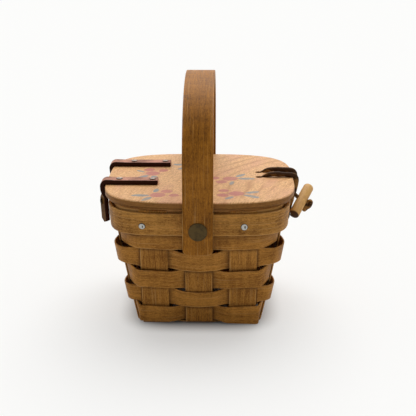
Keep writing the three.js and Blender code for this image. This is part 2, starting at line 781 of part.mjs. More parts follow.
function peg() {
  const radius = PEG_DIAMETER / 2;
  const half = PEG_LENGTH / 2;
  const profile = [
    [0, -half],
    [radius - PEG_EASE, -half],
    [radius, PEG_EASE - half],
    [radius, half - 2 * PEG_EASE],
    [radius - PEG_EASE / 2, half - PEG_EASE / 2],
    [radius - 2 * PEG_EASE, half],
    [0, half],
  ];
  const blank = aim(revolve(profile, ROUND_SIDES), pegPivot, pegAxis);
  const bore = hole(pegPivot, tetherOut, TETHER + 2 * HOLE_GAP, PEG_DIAMETER, PEG_DIAMETER);
  return cut(blank, [bore]);
}

const tetherHole = hole(tetherFoot, toRight, TETHER + 2 * HOLE_GAP, PEG_STANDOFF, bandHalf / 2);

// Handle: a flat strap with straight legs and an arched crown
function handle() {
  const half = HANDLE_THICKNESS / 2;
  const legY = legInner + half;
  const spring = rivetZ + HANDLE_REACH - HANDLE_CROWN;
  const foot = rivetZ - LEG_TAIL;
  const rise = HANDLE_CROWN - half;
  const leg = [0, 30, 60, 90].map((degrees) => {
    const angle = degToRad(degrees);
    const drop = LEG_ROUND * (1 - Math.cos(angle));
    const width = HANDLE_WIDTH / 2 - LEG_ROUND * (1 - Math.sin(angle));
    return { y: -legY, z: foot + drop, out: [-1, 0], width };
  });
  const crown = Array.from({ length: CROWN_STEPS + 1 }, (_, i) => {
    const angle = (Math.PI * i) / CROWN_STEPS;
    const out = new THREE.Vector2(-rise * Math.cos(angle), legY * Math.sin(angle)).normalize();
    const y = -legY * Math.cos(angle);
    return { y, z: spring + rise * Math.sin(angle), out: out.toArray(), width: HANDLE_WIDTH / 2 };
  });
  const otherLeg = leg.map((s) => ({ ...s, y: legY, out: [1, 0] })).reverse();
  const rings = [...leg, ...crown, ...otherLeg].map(({ y, z, out, width }) => {
    const section = [
      [-width, half - HANDLE_EASE],
      [-width + HANDLE_EASE, half],
      [width - HANDLE_EASE, half],
      [width, half - HANDLE_EASE],
      [width, HANDLE_EASE - half],
      [width - HANDLE_EASE, -half],
      [-width + HANDLE_EASE, -half],
      [-width, HANDLE_EASE - half],
    ];
    return section.map(([x, h]) => new THREE.Vector3(x, y + out[0] * h, z + out[1] * h));
  });
  return cut(loft(rings), rivetHoles);
}

// Basket wall
const throughHoles = [...bandHoles, ...rivetHoles, tetherHole];
const stripNames = [
  ['long_strip_left', 'long_strip_middle', 'long_strip_right'],
  ['cross_strip_front', 'cross_strip_middle', 'cross_strip_back'],
];
stripNames.forEach((names, direction) => {
  names.forEach((name, i) => {
    addMesh(name, cut(stakeStrip(direction, STAKES[i]), throughHoles), splintWood);
  });
});
ROW_HEIGHTS.forEach((_, level) => {
  addMesh(`weaver_row_${level + 1}`, weaverRow(level), splintWood);
});
const tackHoles = straps.map((strap) => strap.bandHole);
addMesh('rim_band_outer', cut(outerBand(), [...throughHoles, ...tackHoles]), bandWood);
addMesh('rim_band_inner', cut(innerBand(), throughHoles), bandWood);
for (const { name, shape } of rimNails) {
  addMesh(name, shape, nailSteel);
}
for (const [name, axis] of Object.entries(rivetAxes)) {
  addMesh(`handle_rivet_${name}`, aim(rivet(), rivetCentre, axis), oldBrass);
  addMesh(`rivet_burr_${name}`, aim(burr(), rivetCentre, axis), oldBrass);
}

// Lid and its fittings
addMesh('lid_board', cut(lidBlank(), lidHoles), lidWood);
for (const strap of straps) {
  addMesh(`hinge_strap_${strap.name}`, cut(strapBlank(strap), strap.holes), strapLeather);
  for (const { name, shape } of [...strap.nails, strap.tack]) {
    addMesh(name, shape, nailSteel);
  }
}
for (const [name, y] of Object.entries(lacePlaces)) {
  addMesh(`lace_strand_${name}`, laceStrand(y), laceLeather);
}
addMesh('latch_loop', latchLoop(), laceLeather);

// Toggle and handle
addMesh('toggle_tether', tether(), laceLeather);
addMesh('toggle_peg', peg(), pegWood);
addMesh('handle', handle(), handleWood);

export default basket;
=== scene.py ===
"""Looks of the woven picnic basket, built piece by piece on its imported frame."""

import math

import bmesh
import bpy
from mathutils import Matrix, Vector


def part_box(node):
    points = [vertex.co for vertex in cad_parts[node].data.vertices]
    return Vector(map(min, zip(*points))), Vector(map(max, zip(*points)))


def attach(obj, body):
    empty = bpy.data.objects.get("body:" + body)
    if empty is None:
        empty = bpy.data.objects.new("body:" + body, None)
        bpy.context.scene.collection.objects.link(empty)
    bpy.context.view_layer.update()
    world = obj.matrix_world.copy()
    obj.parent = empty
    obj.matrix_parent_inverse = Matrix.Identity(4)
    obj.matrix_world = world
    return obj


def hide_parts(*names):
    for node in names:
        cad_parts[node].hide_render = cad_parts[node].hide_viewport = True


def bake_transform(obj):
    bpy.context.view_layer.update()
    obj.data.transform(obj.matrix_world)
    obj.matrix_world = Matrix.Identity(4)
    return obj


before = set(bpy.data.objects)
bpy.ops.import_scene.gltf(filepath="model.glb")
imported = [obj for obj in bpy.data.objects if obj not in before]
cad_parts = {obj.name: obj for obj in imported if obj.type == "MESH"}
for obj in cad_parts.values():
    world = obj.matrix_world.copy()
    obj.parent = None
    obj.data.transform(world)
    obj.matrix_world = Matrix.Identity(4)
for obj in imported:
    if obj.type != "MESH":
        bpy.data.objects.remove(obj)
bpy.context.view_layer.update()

bl_info = {
    "name": "Woven Picnic Basket",
    "version": (1, 0, 0),
    "blender": (4, 2, 0),
    "location": "View3D > Sidebar > Basket",
    "description": "Builds a splint-woven basket with a board lid, leather straps and a swing handle",
    "category": "Add Mesh",
}

MM = 0.001
UP = Vector((0.0, 0.0, 1.0))
BACKWARD = Vector((0.0, 1.0, 0.0))
RIGHT = Vector((1.0, 0.0, 0.0))
SIDES = ("front", "right", "back", "left")
STAKES = (-1, 0, 1)
LEVELS = range(5)


# Properties


def linear(value):
    """One sRGB channel, 0 to 255, as linear light."""
    share = value / 255.0
    if share <= 0.04045:
        return share / 12.92
    return ((share + 0.055) / 1.055) ** 2.4


def length(name, millimetres, description):
    return bpy.props.FloatProperty(
        name=name, description=description, default=millimetres * MM, unit="LENGTH", precision=5
    )


def row_lengths(name, millimetres, description):
    return bpy.props.FloatVectorProperty(
        name=name,
        description=description,
        size=len(millimetres),
        default=tuple(value * MM for value in millimetres),
        unit="LENGTH",
        precision=5,
    )


def number(name, value, description):
    return bpy.props.FloatProperty(name=name, description=description, default=value)


def colour(name, srgb, description):
    return bpy.props.FloatVectorProperty(
        name=name,
        description=description,
        default=tuple(linear(channel) for channel in srgb),
        subtype="COLOR",
        min=0.0,
        max=1.0,
    )


class BasketWeave(bpy.types.PropertyGroup):
    splint: length("Splint", 0.9, "Thickness of the stakes and weavers")
    stake_width: length("Stake width", 17.6, "Width of a stake")
    stake_pitch: length("Stake pitch", 28.6, "From one stake's middle to the next")
    stake_ease: length("Stake ease", 0.7, "Straight run of a weaver past a stake's edge")
    stake_top: length("Stake top", 84.8, "Height of the stakes' upper ends")
    fold_height: length("Fold height", 3.0, "Height at which a stake starts to turn under")
    weave_step: length("Weave step", 1.2, "From the middle of a stake to the middle of a weaver")
    row_foot: length("Row foot", 3.3, "Height of the lowest row's lower edge")
    row_heights: row_lengths(
        "Row heights", (11.9, 13.1, 14.3, 14.6, 12.6), "Heights of the five rows, from the lowest up"
    )
    row_slit: length("Row slit", 0.4, "Space between one row and the next")
    row_droop: length("Row droop", 1.6, "How far the lowest row sinks where it passes outside")
    row_sag: length("Row sag", 1.5, "How far a row's upper edge sinks where it passes outside")
    droop_slant: number("Droop slant", 0.7, "Share of the droop added on the right, taken off on the left")
    row_dip: length("Row dip", 1.2, "How far a row dips at the middle of a side")
    front_climb: length("Front climb", 1.5, "How far a row climbs to the ends of the front and back")
    side_climb: length("Side climb", 3.0, "How far a row climbs to the ends of the other sides")
    corner_climb: length("Corner climb", 1.2, "How far a row climbs from there to the corner")
    climb_shares: bpy.props.FloatVectorProperty(
        name="Climb shares",
        description="Share of the climb taken by each edge of the rows, from the lowest up",
        size=6,
        default=(0.0, 1.0, 1.0, 1.0, 0.6, 0.0),
    )
    corner_bulges: row_lengths(
        "Corner bulges", (0.2, 1.8, 0.8, 2.6, 0.0), "How far each row stands off at the corners"
    )
    foot_half: length("Foot half width", 40.2, "Half the width of the wall at the floor")
    rim_half: length("Rim half width", 56.9904, "Half the width of the wall at the stakes' tops")
    belly: length("Belly", 0.9, "How far the wall swells between floor and rim")
    foot_squareness: number("Foot squareness", 30.0, "Exponent of the plan at the floor")
    rim_squareness: number("Rim squareness", 5.0, "Exponent of the plan at the rim")


class BasketRim(bpy.types.PropertyGroup):
    bottom: length("Band bottom", 68.8, "Height of the outer band's lower edge")
    top: length("Band top", 83.6, "Height of the outer band's upper edge")
    thickness: length("Band thickness", 2.1, "Thickness of the outer band")
    lower_stand: length("Lower stand-off", 1.95, "Space between wall and outer band at its lower edge")
    upper_stand: length("Upper stand-off", 0.75, "Space between wall and outer band at its upper edge")
    inner_bottom: length("Inner band bottom", 70.1, "Height of the inner band's lower edge")
    inner_top: length("Inner band top", 85.2, "Height of the inner band's upper edge")
    inner_thickness: length("Inner band thickness", 2.0, "Thickness of the inner band")
    nail_head: length("Nail head", 4.4, "Diameter of a nail's head")
    nail_shank: length("Nail shank", 1.6, "Diameter of a nail's shank")
    nail_bite: length("Nail bite", 4.0, "Length of a nail's shank")
    rivet_head: length("Rivet head", 11.7, "Diameter of a handle rivet's head")
    rivet_shank: length("Rivet shank", 4.2, "Diameter of a handle rivet's shank")
    burr: length("Rivet burr", 9.0, "Diameter of the washer under a rivet's tail")


class BasketLid(bpy.types.PropertyGroup):
    half_width: length("Half width", 62.653, "From the middle to the hinge edge")
    half_depth: length("Half depth", 60.253, "From the middle to the front edge")
    bottom: length("Underside", 85.5, "Height of the lid's underside")
    top: length("Top", 91.1, "Height of the lid's top")
    rounding: length("Edge rounding", 1.2, "Rounding of the upper edge")
    lip: length("Lip", 1.2, "Height of the lip under the board")
    lip_inset: length("Lip inset", 1.3, "How far the lip stands back under the board's edge")


class BasketHandle(bpy.types.PropertyGroup):
    width: length("Width", 19.0, "Width of the strap")
    thickness: length("Thickness", 4.5, "Thickness of the strap")
    leg: length("Leg", 63.303, "From the middle to a leg's middle")
    foot: length("Foot", 58.1, "Height of the legs' lower ends")
    spring: length("Spring", 112.8, "Height at which the arch starts")
    rise: length("Rise", 46.9, "From the start of the arch to its middle line's crown")
    arch_power: number("Arch power", 0.93, "Fullness of the shoulders: 1 is an ellipse, less is squarer")
    foot_round: length("Foot rounding", 4.0, "Radius of the lower ends' corners")
    rivet: length("Rivet height", 74.0, "Height of the rivets")


class BasketLeather(bpy.types.PropertyGroup):
    strap_width: length("Strap width", 8.8, "Width of a hinge strap")
    strap_thickness: length("Strap thickness", 3.0, "Thickness of a hinge strap")
    strap_drop: length("Strap drop", 27.0, "From the lid's top to a strap's tip")
    lace: length("Lace", 3.6, "Thickness of the latch lace")
    lace_spread: length("Lace spread", 12.0, "From one strand to the other")
    lace_hole: length("Lace hole", 39.653, "From the middle to the holes in the lid")
    loop_drop: length("Loop drop", 28.6, "How far the loop hangs")
    loop_tuck: length("Loop tuck", 4.6, "How far the loop hangs in behind the peg")
    loop_curl: length("Loop curl", 3.0, "How far the loop's foot curls in under the band")
    fittings_y: length("Latch offset", 4.5, "How far the latch lies behind the middle")
    tether: length("Tether", 2.8, "Thickness of the peg's tether")
    peg: length("Peg", 7.2, "Diameter of the toggle peg")
    peg_length: length("Peg length", 29.0, "Length of the toggle peg")
    peg_turn: number("Peg turn", 52.0, "Degrees the peg is turned back from upright")
    droop: number("Tether droop", 42.0, "Degrees the tether hangs below level")


class BasketColours(bpy.types.PropertyGroup):
    splint: colour("Splint", (197, 138, 62), "Light grain of the stained splint")
    splint_dark: colour("Splint grain", (116, 70, 17), "Dark grain of the splint")
    # Painted shade: dark colour laid where a splint tucks under a neighbour or under the band
    crevice_shade: colour("Crevice", (36, 19, 6), "Splint where it tucks under a neighbour")
    # Pale splint: pale grain threads, worn edges, and painted highlights on lower edges and stake tops
    splint_pale_and_highlight: colour("Worn splint", (206, 158, 98), "Worn edges of the splint")
    band: colour("Band", (198, 142, 68), "Light grain of the rim bands")
    band_dark: colour("Band grain", (112, 70, 20), "Dark grain of the rim bands")
    handle: colour("Handle", (172, 112, 34), "Light grain of the bent handle")
    handle_dark: colour("Handle grain", (100, 58, 8), "Dark grain of the handle")
    lid: colour("Lid", (238, 190, 134), "Lid board")
    lid_dark: colour("Lid grain", (172, 118, 68), "Dark grain of the lid board")
    lid_blush: colour("Lid blush", (206, 148, 118), "Pink cast of parts of the lid board")
    lid_edge: colour("Lid edge", (164, 112, 50), "Stained edge of the lid board")
    lid_edge_dark: colour("Lid edge grain", (98, 60, 18), "Dark grain of the lid's edge")
    berry: colour("Berry paint", (180, 102, 98), "Painted berries")
    leaf: colour("Leaf paint", (116, 134, 138), "Painted leaves")
    peg: colour("Peg", (216, 168, 98), "Dowel peg")
    # Dark end grain of the peg, partly painted shade
    peg_end_grain_and_shade: colour("Peg end", (70, 44, 22), "Dark end of the peg")
    strap: colour("Strap", (198, 144, 122), "Worn face of the hinge straps")
    # Painted shade: the hanging end is coloured darker as if turned away from the light
    strap_tab_shade: colour("Strap tab", (104, 70, 28), "Hanging end of the hinge straps")
    strap_edge: colour("Strap edge", (46, 20, 8), "Dark edges of the hinge straps")
    # Pale leather of the lace: worn places, partly standing in for painted highlights
    lace: colour("Lace", (150, 108, 54), "Worn face of the latch lace and tether")
    lace_dark: colour("Lace shade", (58, 34, 12), "Dark side of the latch lace and tether")
    rivet: colour("Rivet", (84, 66, 30), "Darkened brass")
    # Tarnish of the rivets; on the tacks also their dark slot and the painted shadow round the rim
    rivet_tarnish_and_tack_shadow: colour("Rivet tarnish", (56, 42, 16), "Tarnish of the brass")
    nail: colour("Nail", (200, 200, 194), "Bright steel")
    nail_dull: colour("Dull nail", (176, 160, 146), "Nails of the hinge straps")
    # Dark slot in a nail's head, and painted contact shadow round its rim
    nail_slot_and_rim_shadow: colour("Nail hollow", (56, 48, 36), "Dark slot in a nail's head and painted shadow round its rim")
    floor: colour("Floor", (179, 179, 178), "Studio floor under the studio's light")
    # The glow fades out near the basket as a painted shadow round its base
    floor_glow: colour("Floor glow", (181, 181, 180), "White of the floor that no shadow takes")
    floor_bounce: colour("Floor bounce", (222, 220, 216), "Floor as it lights the basket from below")


# Materials


def forward(operation):
    return lambda self, other: self.math(operation, self, other)


def reflected(operation):
    return lambda self, other: self.math(operation, other, self)


class Socket:
    """An output of a node tree; arithmetic on it adds Math nodes."""

    def __init__(self, nodes, socket):
        self.nodes = nodes
        self.socket = socket

    def math(self, operation, *values):
        return self.nodes.add("ShaderNodeMath", {"operation": operation}, dict(enumerate(values)))

    __add__ = forward("ADD")
    __radd__ = reflected("ADD")
    __sub__ = forward("SUBTRACT")
    __rsub__ = reflected("SUBTRACT")
    __mul__ = forward("MULTIPLY")
    __rmul__ = reflected("MULTIPLY")
    __truediv__ = forward("DIVIDE")
    __rtruediv__ = reflected("DIVIDE")
    __pow__ = forward("POWER")
    __rpow__ = reflected("POWER")
    larger = forward("MAXIMUM")
    smaller = forward("MINIMUM")

    def __abs__(self):
        return self.math("ABSOLUTE", self)


class Nodes:
    """A node tree under construction."""

    def __init__(self, tree):
        self.tree = tree

    def add(self, kind, settings, sockets, output=0):
        node = self.tree.nodes.new(kind)
        for key, value in settings.items():
            setattr(node, key, value)
        for key, value in sockets.items():
            self.feed(node.inputs[key], value)
        return Socket(self, node.outputs[output])

    def feed(self, target, value):
        if isinstance(value, Socket):
            self.tree.links.new(value.socket, target)
        elif target.type == "RGBA" and len(value) == 3:
            target.default_value = (*value, 1.0)
        else:
            target.default_value = value

    def split(self, vector):
        return [self.add("ShaderNodeSeparateXYZ", {}, {0: vector}, axis) for axis in range(3)]

    def join(self, x, y, z=0.0):
        return self.add("ShaderNodeCombineXYZ", {}, {0: x, 1: y, 2: z})

    def shown(self):
        """1 for what the camera sees straight, mirrored or through glass, and 0 for what only lights."""
        kinds = ("Is Camera Ray", "Is Glossy Ray", "Is Transmission Ray")
        straight, mirrored, through = [self.add("ShaderNodeLightPath", {}, {}, kind) for kind in kinds]
        return straight.larger(mirrored).larger(through)


class Look(Nodes):
    """A procedural material under construction."""

    def __init__(self, name):
        self.material = bpy.data.materials.new(name)
        self.material.use_nodes = True
        super().__init__(self.material.node_tree)
        self.shader = self.tree.nodes["Principled BSDF"]

    def set(self, **values):
        for key, value in values.items():
            self.feed(self.shader.inputs[key.replace("_", " ")], value)

    def uv(self, name):
        return self.split(self.add("ShaderNodeUVMap", {"uv_map": name}, {}))

    def place(self):
        return self.add("ShaderNodeTexCoord", {}, {}, "Object")

    def noise(self, vector, scale=1.0, detail=2.0, roughness=0.5):
        sockets = {"Vector": vector, "Scale": scale, "Detail": detail, "Roughness": roughness}
        return self.add("ShaderNodeTexNoise", {}, sockets)

    def layers(self, table, along, across):
        """Noises of a table, in its order."""
        made = []
        for waves_along, waves_across, seed, detail, roughness in table.values():
            vector = self.join(along * waves_along, across * waves_across, seed)
            made.append(self.noise(vector, detail=detail, roughness=roughness))
        return made

    def ramp(self, value, low, high):
        """Smooth step from 0 at low to 1 at high."""
        sockets = {"Value": value, "From Min": low, "From Max": high}
        return self.add("ShaderNodeMapRange", {"interpolation_type": "SMOOTHSTEP"}, sockets)

    def mix(self, share, first, second):
        return self.add("ShaderNodeMix", {"data_type": "RGBA"}, {0: share, 6: first, 7: second}, 2)

    def bump(self, height, strength, distance):
        sockets = {"Height": height, "Strength": strength, "Distance": distance}
        self.set(Normal=self.add("ShaderNodeBump", {}, sockets))


# Noises of each look: waves a metre along and across the grain, seed, detail and roughness
WOOD_LAYERS = {
    "fibre": (70.0, 1700.0, 0.0, 2.0, 0.6),
    "mottle": (420.0, 900.0, 5.0, 3.0, 0.6),
    "speck": (1000.0, 1600.0, 13.0, 1.0, 0.5),
    "streak": (10.0, 300.0, 9.0, 2.0, 0.5),
    "cloud": (30.0, 60.0, 3.0, 3.0, 0.5),
    "ripple": (240.0, 30.0, 15.0, 2.0, 0.5),
    "thread": (24.0, 1100.0, 21.0, 1.0, 0.5),
    "patch": (46.0, 20.0, 11.0, 2.0, 0.5),
}
LID_LAYERS = {
    "drift": (14.0, 30.0, 2.0, 2.0, 0.5),
    "faint": (30.0, 45.0, 6.0, 1.0, 0.5),
    "fibre": (150.0, 1500.0, 5.0, 2.0, 0.6),
    "speck": (420.0, 1150.0, 8.0, 3.0, 0.65),
    "blush": (26.0, 70.0, 12.0, 2.0, 0.5),
    "pore": (230.0, 1700.0, 9.0, 1.0, 0.5),
}
PEG_LAYERS = {
    "fibre": (90.0, 1500.0, 0.0, 3.0, 0.5),
    "cloud": (260.0, 320.0, 3.0, 2.0, 0.5),
}
STRAP_LAYERS = {
    "hide": (700.0, 700.0, 0.0, 3.0, 0.6),
    "crease": (900.0, 120.0, 5.0, 2.0, 0.5),
    "cloud": (90.0, 90.0, 2.0, 2.0, 0.5),
}
LACE_LAYERS = {
    "hide": (500.0, 900.0, 0.0, 3.0, 0.6),
    "patch": (70.0, 260.0, 4.0, 2.0, 0.5),
}


def wood_look(name, light, dark, edge_wear_and_highlight, colours):
    """Stained wood with its grain along the strip; its edges and ends are worn paler, partly as a painted
    highlight, and it carries painted shade where it tucks under.
    """
    look = Look(name)
    along, across, _ = look.uv("Grain")
    end, share, _ = look.uv("Strip")
    tuck, _, _ = look.uv("PaintedShade")
    fibre, mottle, speck, streak, cloud, ripple, thread, patch = look.layers(WOOD_LAYERS, along, across)
    tone = fibre * 1.4 + mottle * 1.2 + speck + streak * 0.8 + cloud * 1.1 + ripple * 0.7 - 2.53
    surface = look.mix(tone, dark, light)
    surface = look.mix(look.ramp(thread, 0.58, 0.74) * 0.4, surface, colours.splint_pale_and_highlight)
    ragged = (mottle - 0.5) * 0.06
    # Lower edge of rows and bands worn paler, and paler still as a painted highlight of the floor's light
    # from below; upper edge worn
    first_edge = look.ramp(share + ragged, 0.065, 0.012)
    second_edge = look.ramp(1.0 - share + ragged, 0.05, 0.01)
    # Paler strip ends: worn at the handle's feet, and a painted highlight on the stake tops under the lid
    end_wear_and_highlight = look.ramp(abs(end - 0.5), 0.4955, 0.4985) * 0.6
    patchy = 0.15 + look.ramp(patch, 0.4, 0.6) * 0.85
    wear_and_highlight = (first_edge + second_edge * 0.4 + end_wear_and_highlight) * patchy * edge_wear_and_highlight
    surface = look.mix(wear_and_highlight, surface, colours.splint_pale_and_highlight)
    # Painted shade in the crevices where the splint tucks under a neighbour or the band
    surface = look.mix(tuck * 0.88, surface, colours.crevice_shade)
    look.set(Base_Color=surface, Roughness=0.42 + fibre * 0.16, Specular_IOR_Level=0.12)
    look.bump(fibre * 0.7 + streak * 0.4, 0.3, 0.25 * MM)
    return look.material


# Painted sprigs on the lid: middle and turn of each in millimetres and degrees
SPRIGS = (
    (-4.0, 27.0, 10.0),
    (24.0, -40.0, 168.0),
    (-26.0, -44.0, 24.0),
    (-33.0, 6.0, 74.0),
    (20.0, -6.0, 200.0),
)
# Marks of one sprig: middle, half length, half width and turn, in millimetres and degrees
BERRIES = ((0.0, 0.0, 5.2, 4.9, 0.0), (8.0, 5.2, 3.9, 3.7, 0.0), (9.2, -4.6, 3.4, 3.2, 0.0))
LEAVES = ((-10.4, 3.6, 5.8, 2.3, -24.0), (-9.4, -5.0, 5.0, 2.0, 32.0), (2.6, 10.0, 4.0, 1.6, 62.0))
# Turn of the lid's grain from the hinge-to-latch line, in degrees
LID_GRAIN_TURN = 66.0


def turned(x, y, degrees):
    """Two lengths measured on axes that are turned against the first ones."""
    angle = math.radians(degrees)
    return x * math.cos(angle) + y * math.sin(angle), y * math.cos(angle) - x * math.sin(angle)


def painted(look, x, y, marks):
    """Share of the lid's face covered by the marks of all the sprigs."""
    cover = None
    for middle_x, middle_y, turn in SPRIGS:
        sprig_x, sprig_y = turned(x - middle_x * MM, y - middle_y * MM, turn)
        for mark_x, mark_y, half_length, half_width, lean in marks:
            off_x, off_y = turned(sprig_x - mark_x * MM, sprig_y - mark_y * MM, lean)
            run = off_x / (half_length * MM)
            rise = off_y / (half_width * MM)
            mark = look.ramp(run * run + rise * rise, 1.15, 0.75)
            cover = cover.larger(mark) if cover else mark
    return cover


def lid_edge_colour(look, x, y, z, colours):
    """Stained edge of the lid, streaked level all the way round."""
    streak = look.noise(look.join((x + y) * 60.0, (x - y) * 60.0, z * 1500.0), detail=3.0, roughness=0.6)
    speck = look.noise(look.join(x * 700.0, y * 700.0, z * 1100.0), detail=2.0)
    return look.mix(streak * 1.2 + speck * 0.8 - 0.5, colours.lid_edge_dark, colours.lid_edge)


def lid_look(lid, colours):
    """Pale board with flat-sawn rings and pores, painted sprigs and a stained edge."""
    look = Look("Lid board")
    x, y, z = look.split(look.place())
    along, across = turned(x, y, LID_GRAIN_TURN)
    drift, faint, fibre, speck, blush, pore = look.layers(LID_LAYERS, along, across)
    ring = across * 700.0 + along * along * 3000.0 + drift * 15.0
    crest = (ring.math("SINE", ring) * 0.5 + 0.5) ** 5.0
    rightward = 0.25 + look.ramp(x, -30.0 * MM, 20.0 * MM) * 0.75
    rings = crest * look.ramp(faint, 0.36, 0.62) * rightward
    pores = look.ramp(pore, 0.58, 0.68)
    surface = look.mix(fibre * 1.4 + speck * 2.2 - 1.2, colours.lid_dark, colours.lid)
    surface = look.mix(look.ramp(blush, 0.45, 0.7) * 0.5, surface, colours.lid_blush)
    surface = look.mix(rings * 0.6, surface, colours.lid_dark)
    surface = look.mix(pores * 0.6, surface, colours.lid_dark)
    warp = look.noise(look.join(x * 160.0, y * 160.0, 1.0), detail=3.0)
    paint_x = x + (warp - 0.5) * (2.4 * MM)
    paint_y = y + (warp - 0.5) * (2.0 * MM)
    thin = look.ramp(fibre * 0.6 + warp * 0.5, 0.3, 0.75) * 0.35 + 0.55
    for marks, paint in ((LEAVES, colours.leaf), (BERRIES, colours.berry)):
        surface = look.mix(painted(look, paint_x, paint_y, marks) * thin, surface, paint)
    below = look.ramp(z, lid.top - lid.rounding * 0.35, lid.top - lid.rounding * 0.9)
    above = look.ramp(z, lid.bottom, lid.bottom + 0.1 * MM)
    surface = look.mix(below * above, surface, lid_edge_colour(look, x, y, z, colours))
    look.set(Base_Color=surface, Roughness=0.45 + fibre * 0.15, Specular_IOR_Level=0.2)
    look.bump(fibre * 0.6 - pores * 0.4 - rings * 0.4, 0.12, 0.2 * MM)
    return look.material


def peg_look(colours):
    """Bare dowel with one end darker: dark end grain and painted shade."""
    look = Look("Peg")
    along, around, _ = look.uv("Grain")
    share, _, _ = look.uv("Strip")
    fibre, cloud = look.layers(PEG_LAYERS, along, around)
    grain = look.ramp(fibre * 0.7 + cloud * 0.5, 0.7, 0.35) * 0.7
    surface = look.mix(grain, colours.peg, colours.lid_dark)
    # Darker end: end grain and painted shade
    dark = look.ramp(share + (cloud - 0.5) * 0.02, 0.03, 0.0)
    surface = look.mix(dark, surface, colours.peg_end_grain_and_shade)
    look.set(Base_Color=surface, Roughness=0.5, Specular_IOR_Level=0.25)
    look.bump(fibre, 0.2, 0.2 * MM)
    return look.material


def strap_look(colours):
    """Oiled leather, worn to a paler face between dark cut edges, with painted shade on the hanging end.
    """
    look = Look("Strap leather")
    along, across, _ = look.uv("Grain")
    run, share, _ = look.uv("Strip")
    hide, crease, cloud = look.layers(STRAP_LAYERS, along, across)
    dark = look.ramp(share.smaller(1.0 - share) + (cloud - 0.5) * 0.06, 0.1, 0.03)
    stained = look.ramp(cloud * 0.6 + hide * 0.4, 0.62, 0.34) * 0.6
    # Hanging end painted darker as shade
    face = look.mix(look.ramp(run, 0.4, 0.56), colours.strap, colours.strap_tab_shade)
    surface = look.mix(stained, face, colours.strap_edge)
    surface = look.mix(dark, surface, colours.strap_edge)
    look.set(Base_Color=surface, Roughness=0.5 + hide * 0.2, Specular_IOR_Level=0.07)
    look.bump(hide * 0.6 + crease * 0.4, 0.35, 0.3 * MM)
    return look.material


def lace_look(colours):
    """Greasy leather cord, worn paler in places along its length, partly as a painted highlight."""
    look = Look("Lace leather")
    along, around, _ = look.uv("Grain")
    hide, patch = look.layers(LACE_LAYERS, along, around)
    # Pale patches: wear, and partly painted highlights
    wear_and_highlight = look.ramp(patch * 0.8 + hide * 0.3, 0.5, 0.66)
    surface = look.mix(wear_and_highlight, colours.lace_dark, colours.lace)
    look.set(Base_Color=surface, Roughness=0.4 + hide * 0.2, Specular_IOR_Level=0.1)
    look.bump(hide, 0.4, 0.3 * MM)
    return look.material


def rivet_look(colours):
    """Brass gone dull and olive, a little cloudy."""
    look = Look("Darkened brass")
    cloud = look.noise(look.place(), scale=260.0, detail=3.0, roughness=0.55)
    surface = look.mix(look.ramp(cloud, 0.38, 0.72), colours.rivet, colours.rivet_tarnish_and_tack_shadow)
    look.set(Base_Color=surface, Roughness=0.5 + cloud * 0.15, Metallic=0.35, Specular_IOR_Level=0.3)
    look.bump(cloud, 0.1, 0.2 * MM)
    return look.material


def nail_look(name, bright, hollow):
    """Nail: bright head with a dark slot beside its middle and a painted contact shadow round its rim."""
    look = Look(name)
    right, up, _ = look.uv("Face")
    cloud = look.noise(look.place(), scale=700.0, detail=2.0)
    slot_x = (right - 0.2) / 0.26
    slot_y = up / 0.5
    slot = look.ramp(slot_x * slot_x + slot_y * slot_y + (cloud - 0.5) * 0.6, 1.1, 0.4)
    # Painted contact shadow round the head's rim
    ring = look.ramp(right * right + up * up, 0.55, 0.9)
    surface = look.mix((slot * 0.85).larger(ring), bright, hollow)
    look.set(Base_Color=surface, Metallic=0.3, Roughness=0.4 + cloud * 0.12)
    return look.material


# Distance from the basket's middle at which the floor starts to glow, and at which it glows fully; the
# missing glow nearer in is a painted shadow round the base
GLOW_START = 36.0 * MM
GLOW_FULL = 58.0 * MM


def floor_look(colours):
    """Pale floor; it throws less light back at the basket than it shows, and glows clear of the basket,
    the glow fading towards the basket as a painted shadow round its base.
    """
    look = Look("Studio floor")
    shown = look.shown()
    look.set(Base_Color=look.mix(shown, colours.floor_bounce, colours.floor))
    x, y, _ = look.split(look.place())
    square_x = x * x
    square_y = y * y
    reach = (square_x * square_x + square_y * square_y) ** 0.25
    # Painted shadow: the glow fades out towards the basket's base
    beside = look.ramp(reach, GLOW_START, GLOW_FULL)
    glow = look.mix(shown * beside, (0.0, 0.0, 0.0), colours.floor_glow)
    look.set(Emission_Color=glow, Emission_Strength=1.0, Roughness=0.9, Specular_IOR_Level=0.0)
    return look.material


MATERIALS = {}


def dress(colours, lid):
    """Makes the materials once, for the operators to share."""
    # Name, light and dark grain, and how much the edges are worn paler and painted lighter as a highlight
    woods = {
        "splint": ("Splint", colours.splint, colours.splint_dark, 0.7),
        "band": ("Band", colours.band, colours.band_dark, 0.8),
        # Inner band painted paler than the outer band, so its strip under the lid's overhang reads as lit
        "band_inner": ("Inner band", colours.splint_pale_and_highlight, colours.band, 0.5),
        "handle": ("Handle", colours.handle, colours.handle_dark, 1.0),
    }
    for key, (name, light, dark, edge_wear_and_highlight) in woods.items():
        MATERIALS[key] = wood_look(name, light, dark, edge_wear_and_highlight, colours)
    # Name, bright metal, and the colour of the dark slot and the painted shadow round the rim
    nails = {
        "nail": ("Bright steel", colours.nail, colours.nail_slot_and_rim_shadow),
        "strap_nail": ("Dull steel", colours.nail_dull, colours.nail_slot_and_rim_shadow),
        "tack": ("Darkened steel", colours.rivet, colours.rivet_tarnish_and_tack_shadow),
    }
    for key, looks in nails.items():
        MATERIALS[key] = nail_look(*looks)
    MATERIALS["lid"] = lid_look(lid, colours)
    MATERIALS["peg"] = peg_look(colours)
    MATERIALS["strap"] = strap_look(colours)
    MATERIALS["lace"] = lace_look(colours)
    MATERIALS["rivet"] = rivet_look(colours)


# Meshes


SHARP_ANGLE = math.radians(38.0)
ROUNDING_STEPS = 2
SAME_PLACE = 1e-6
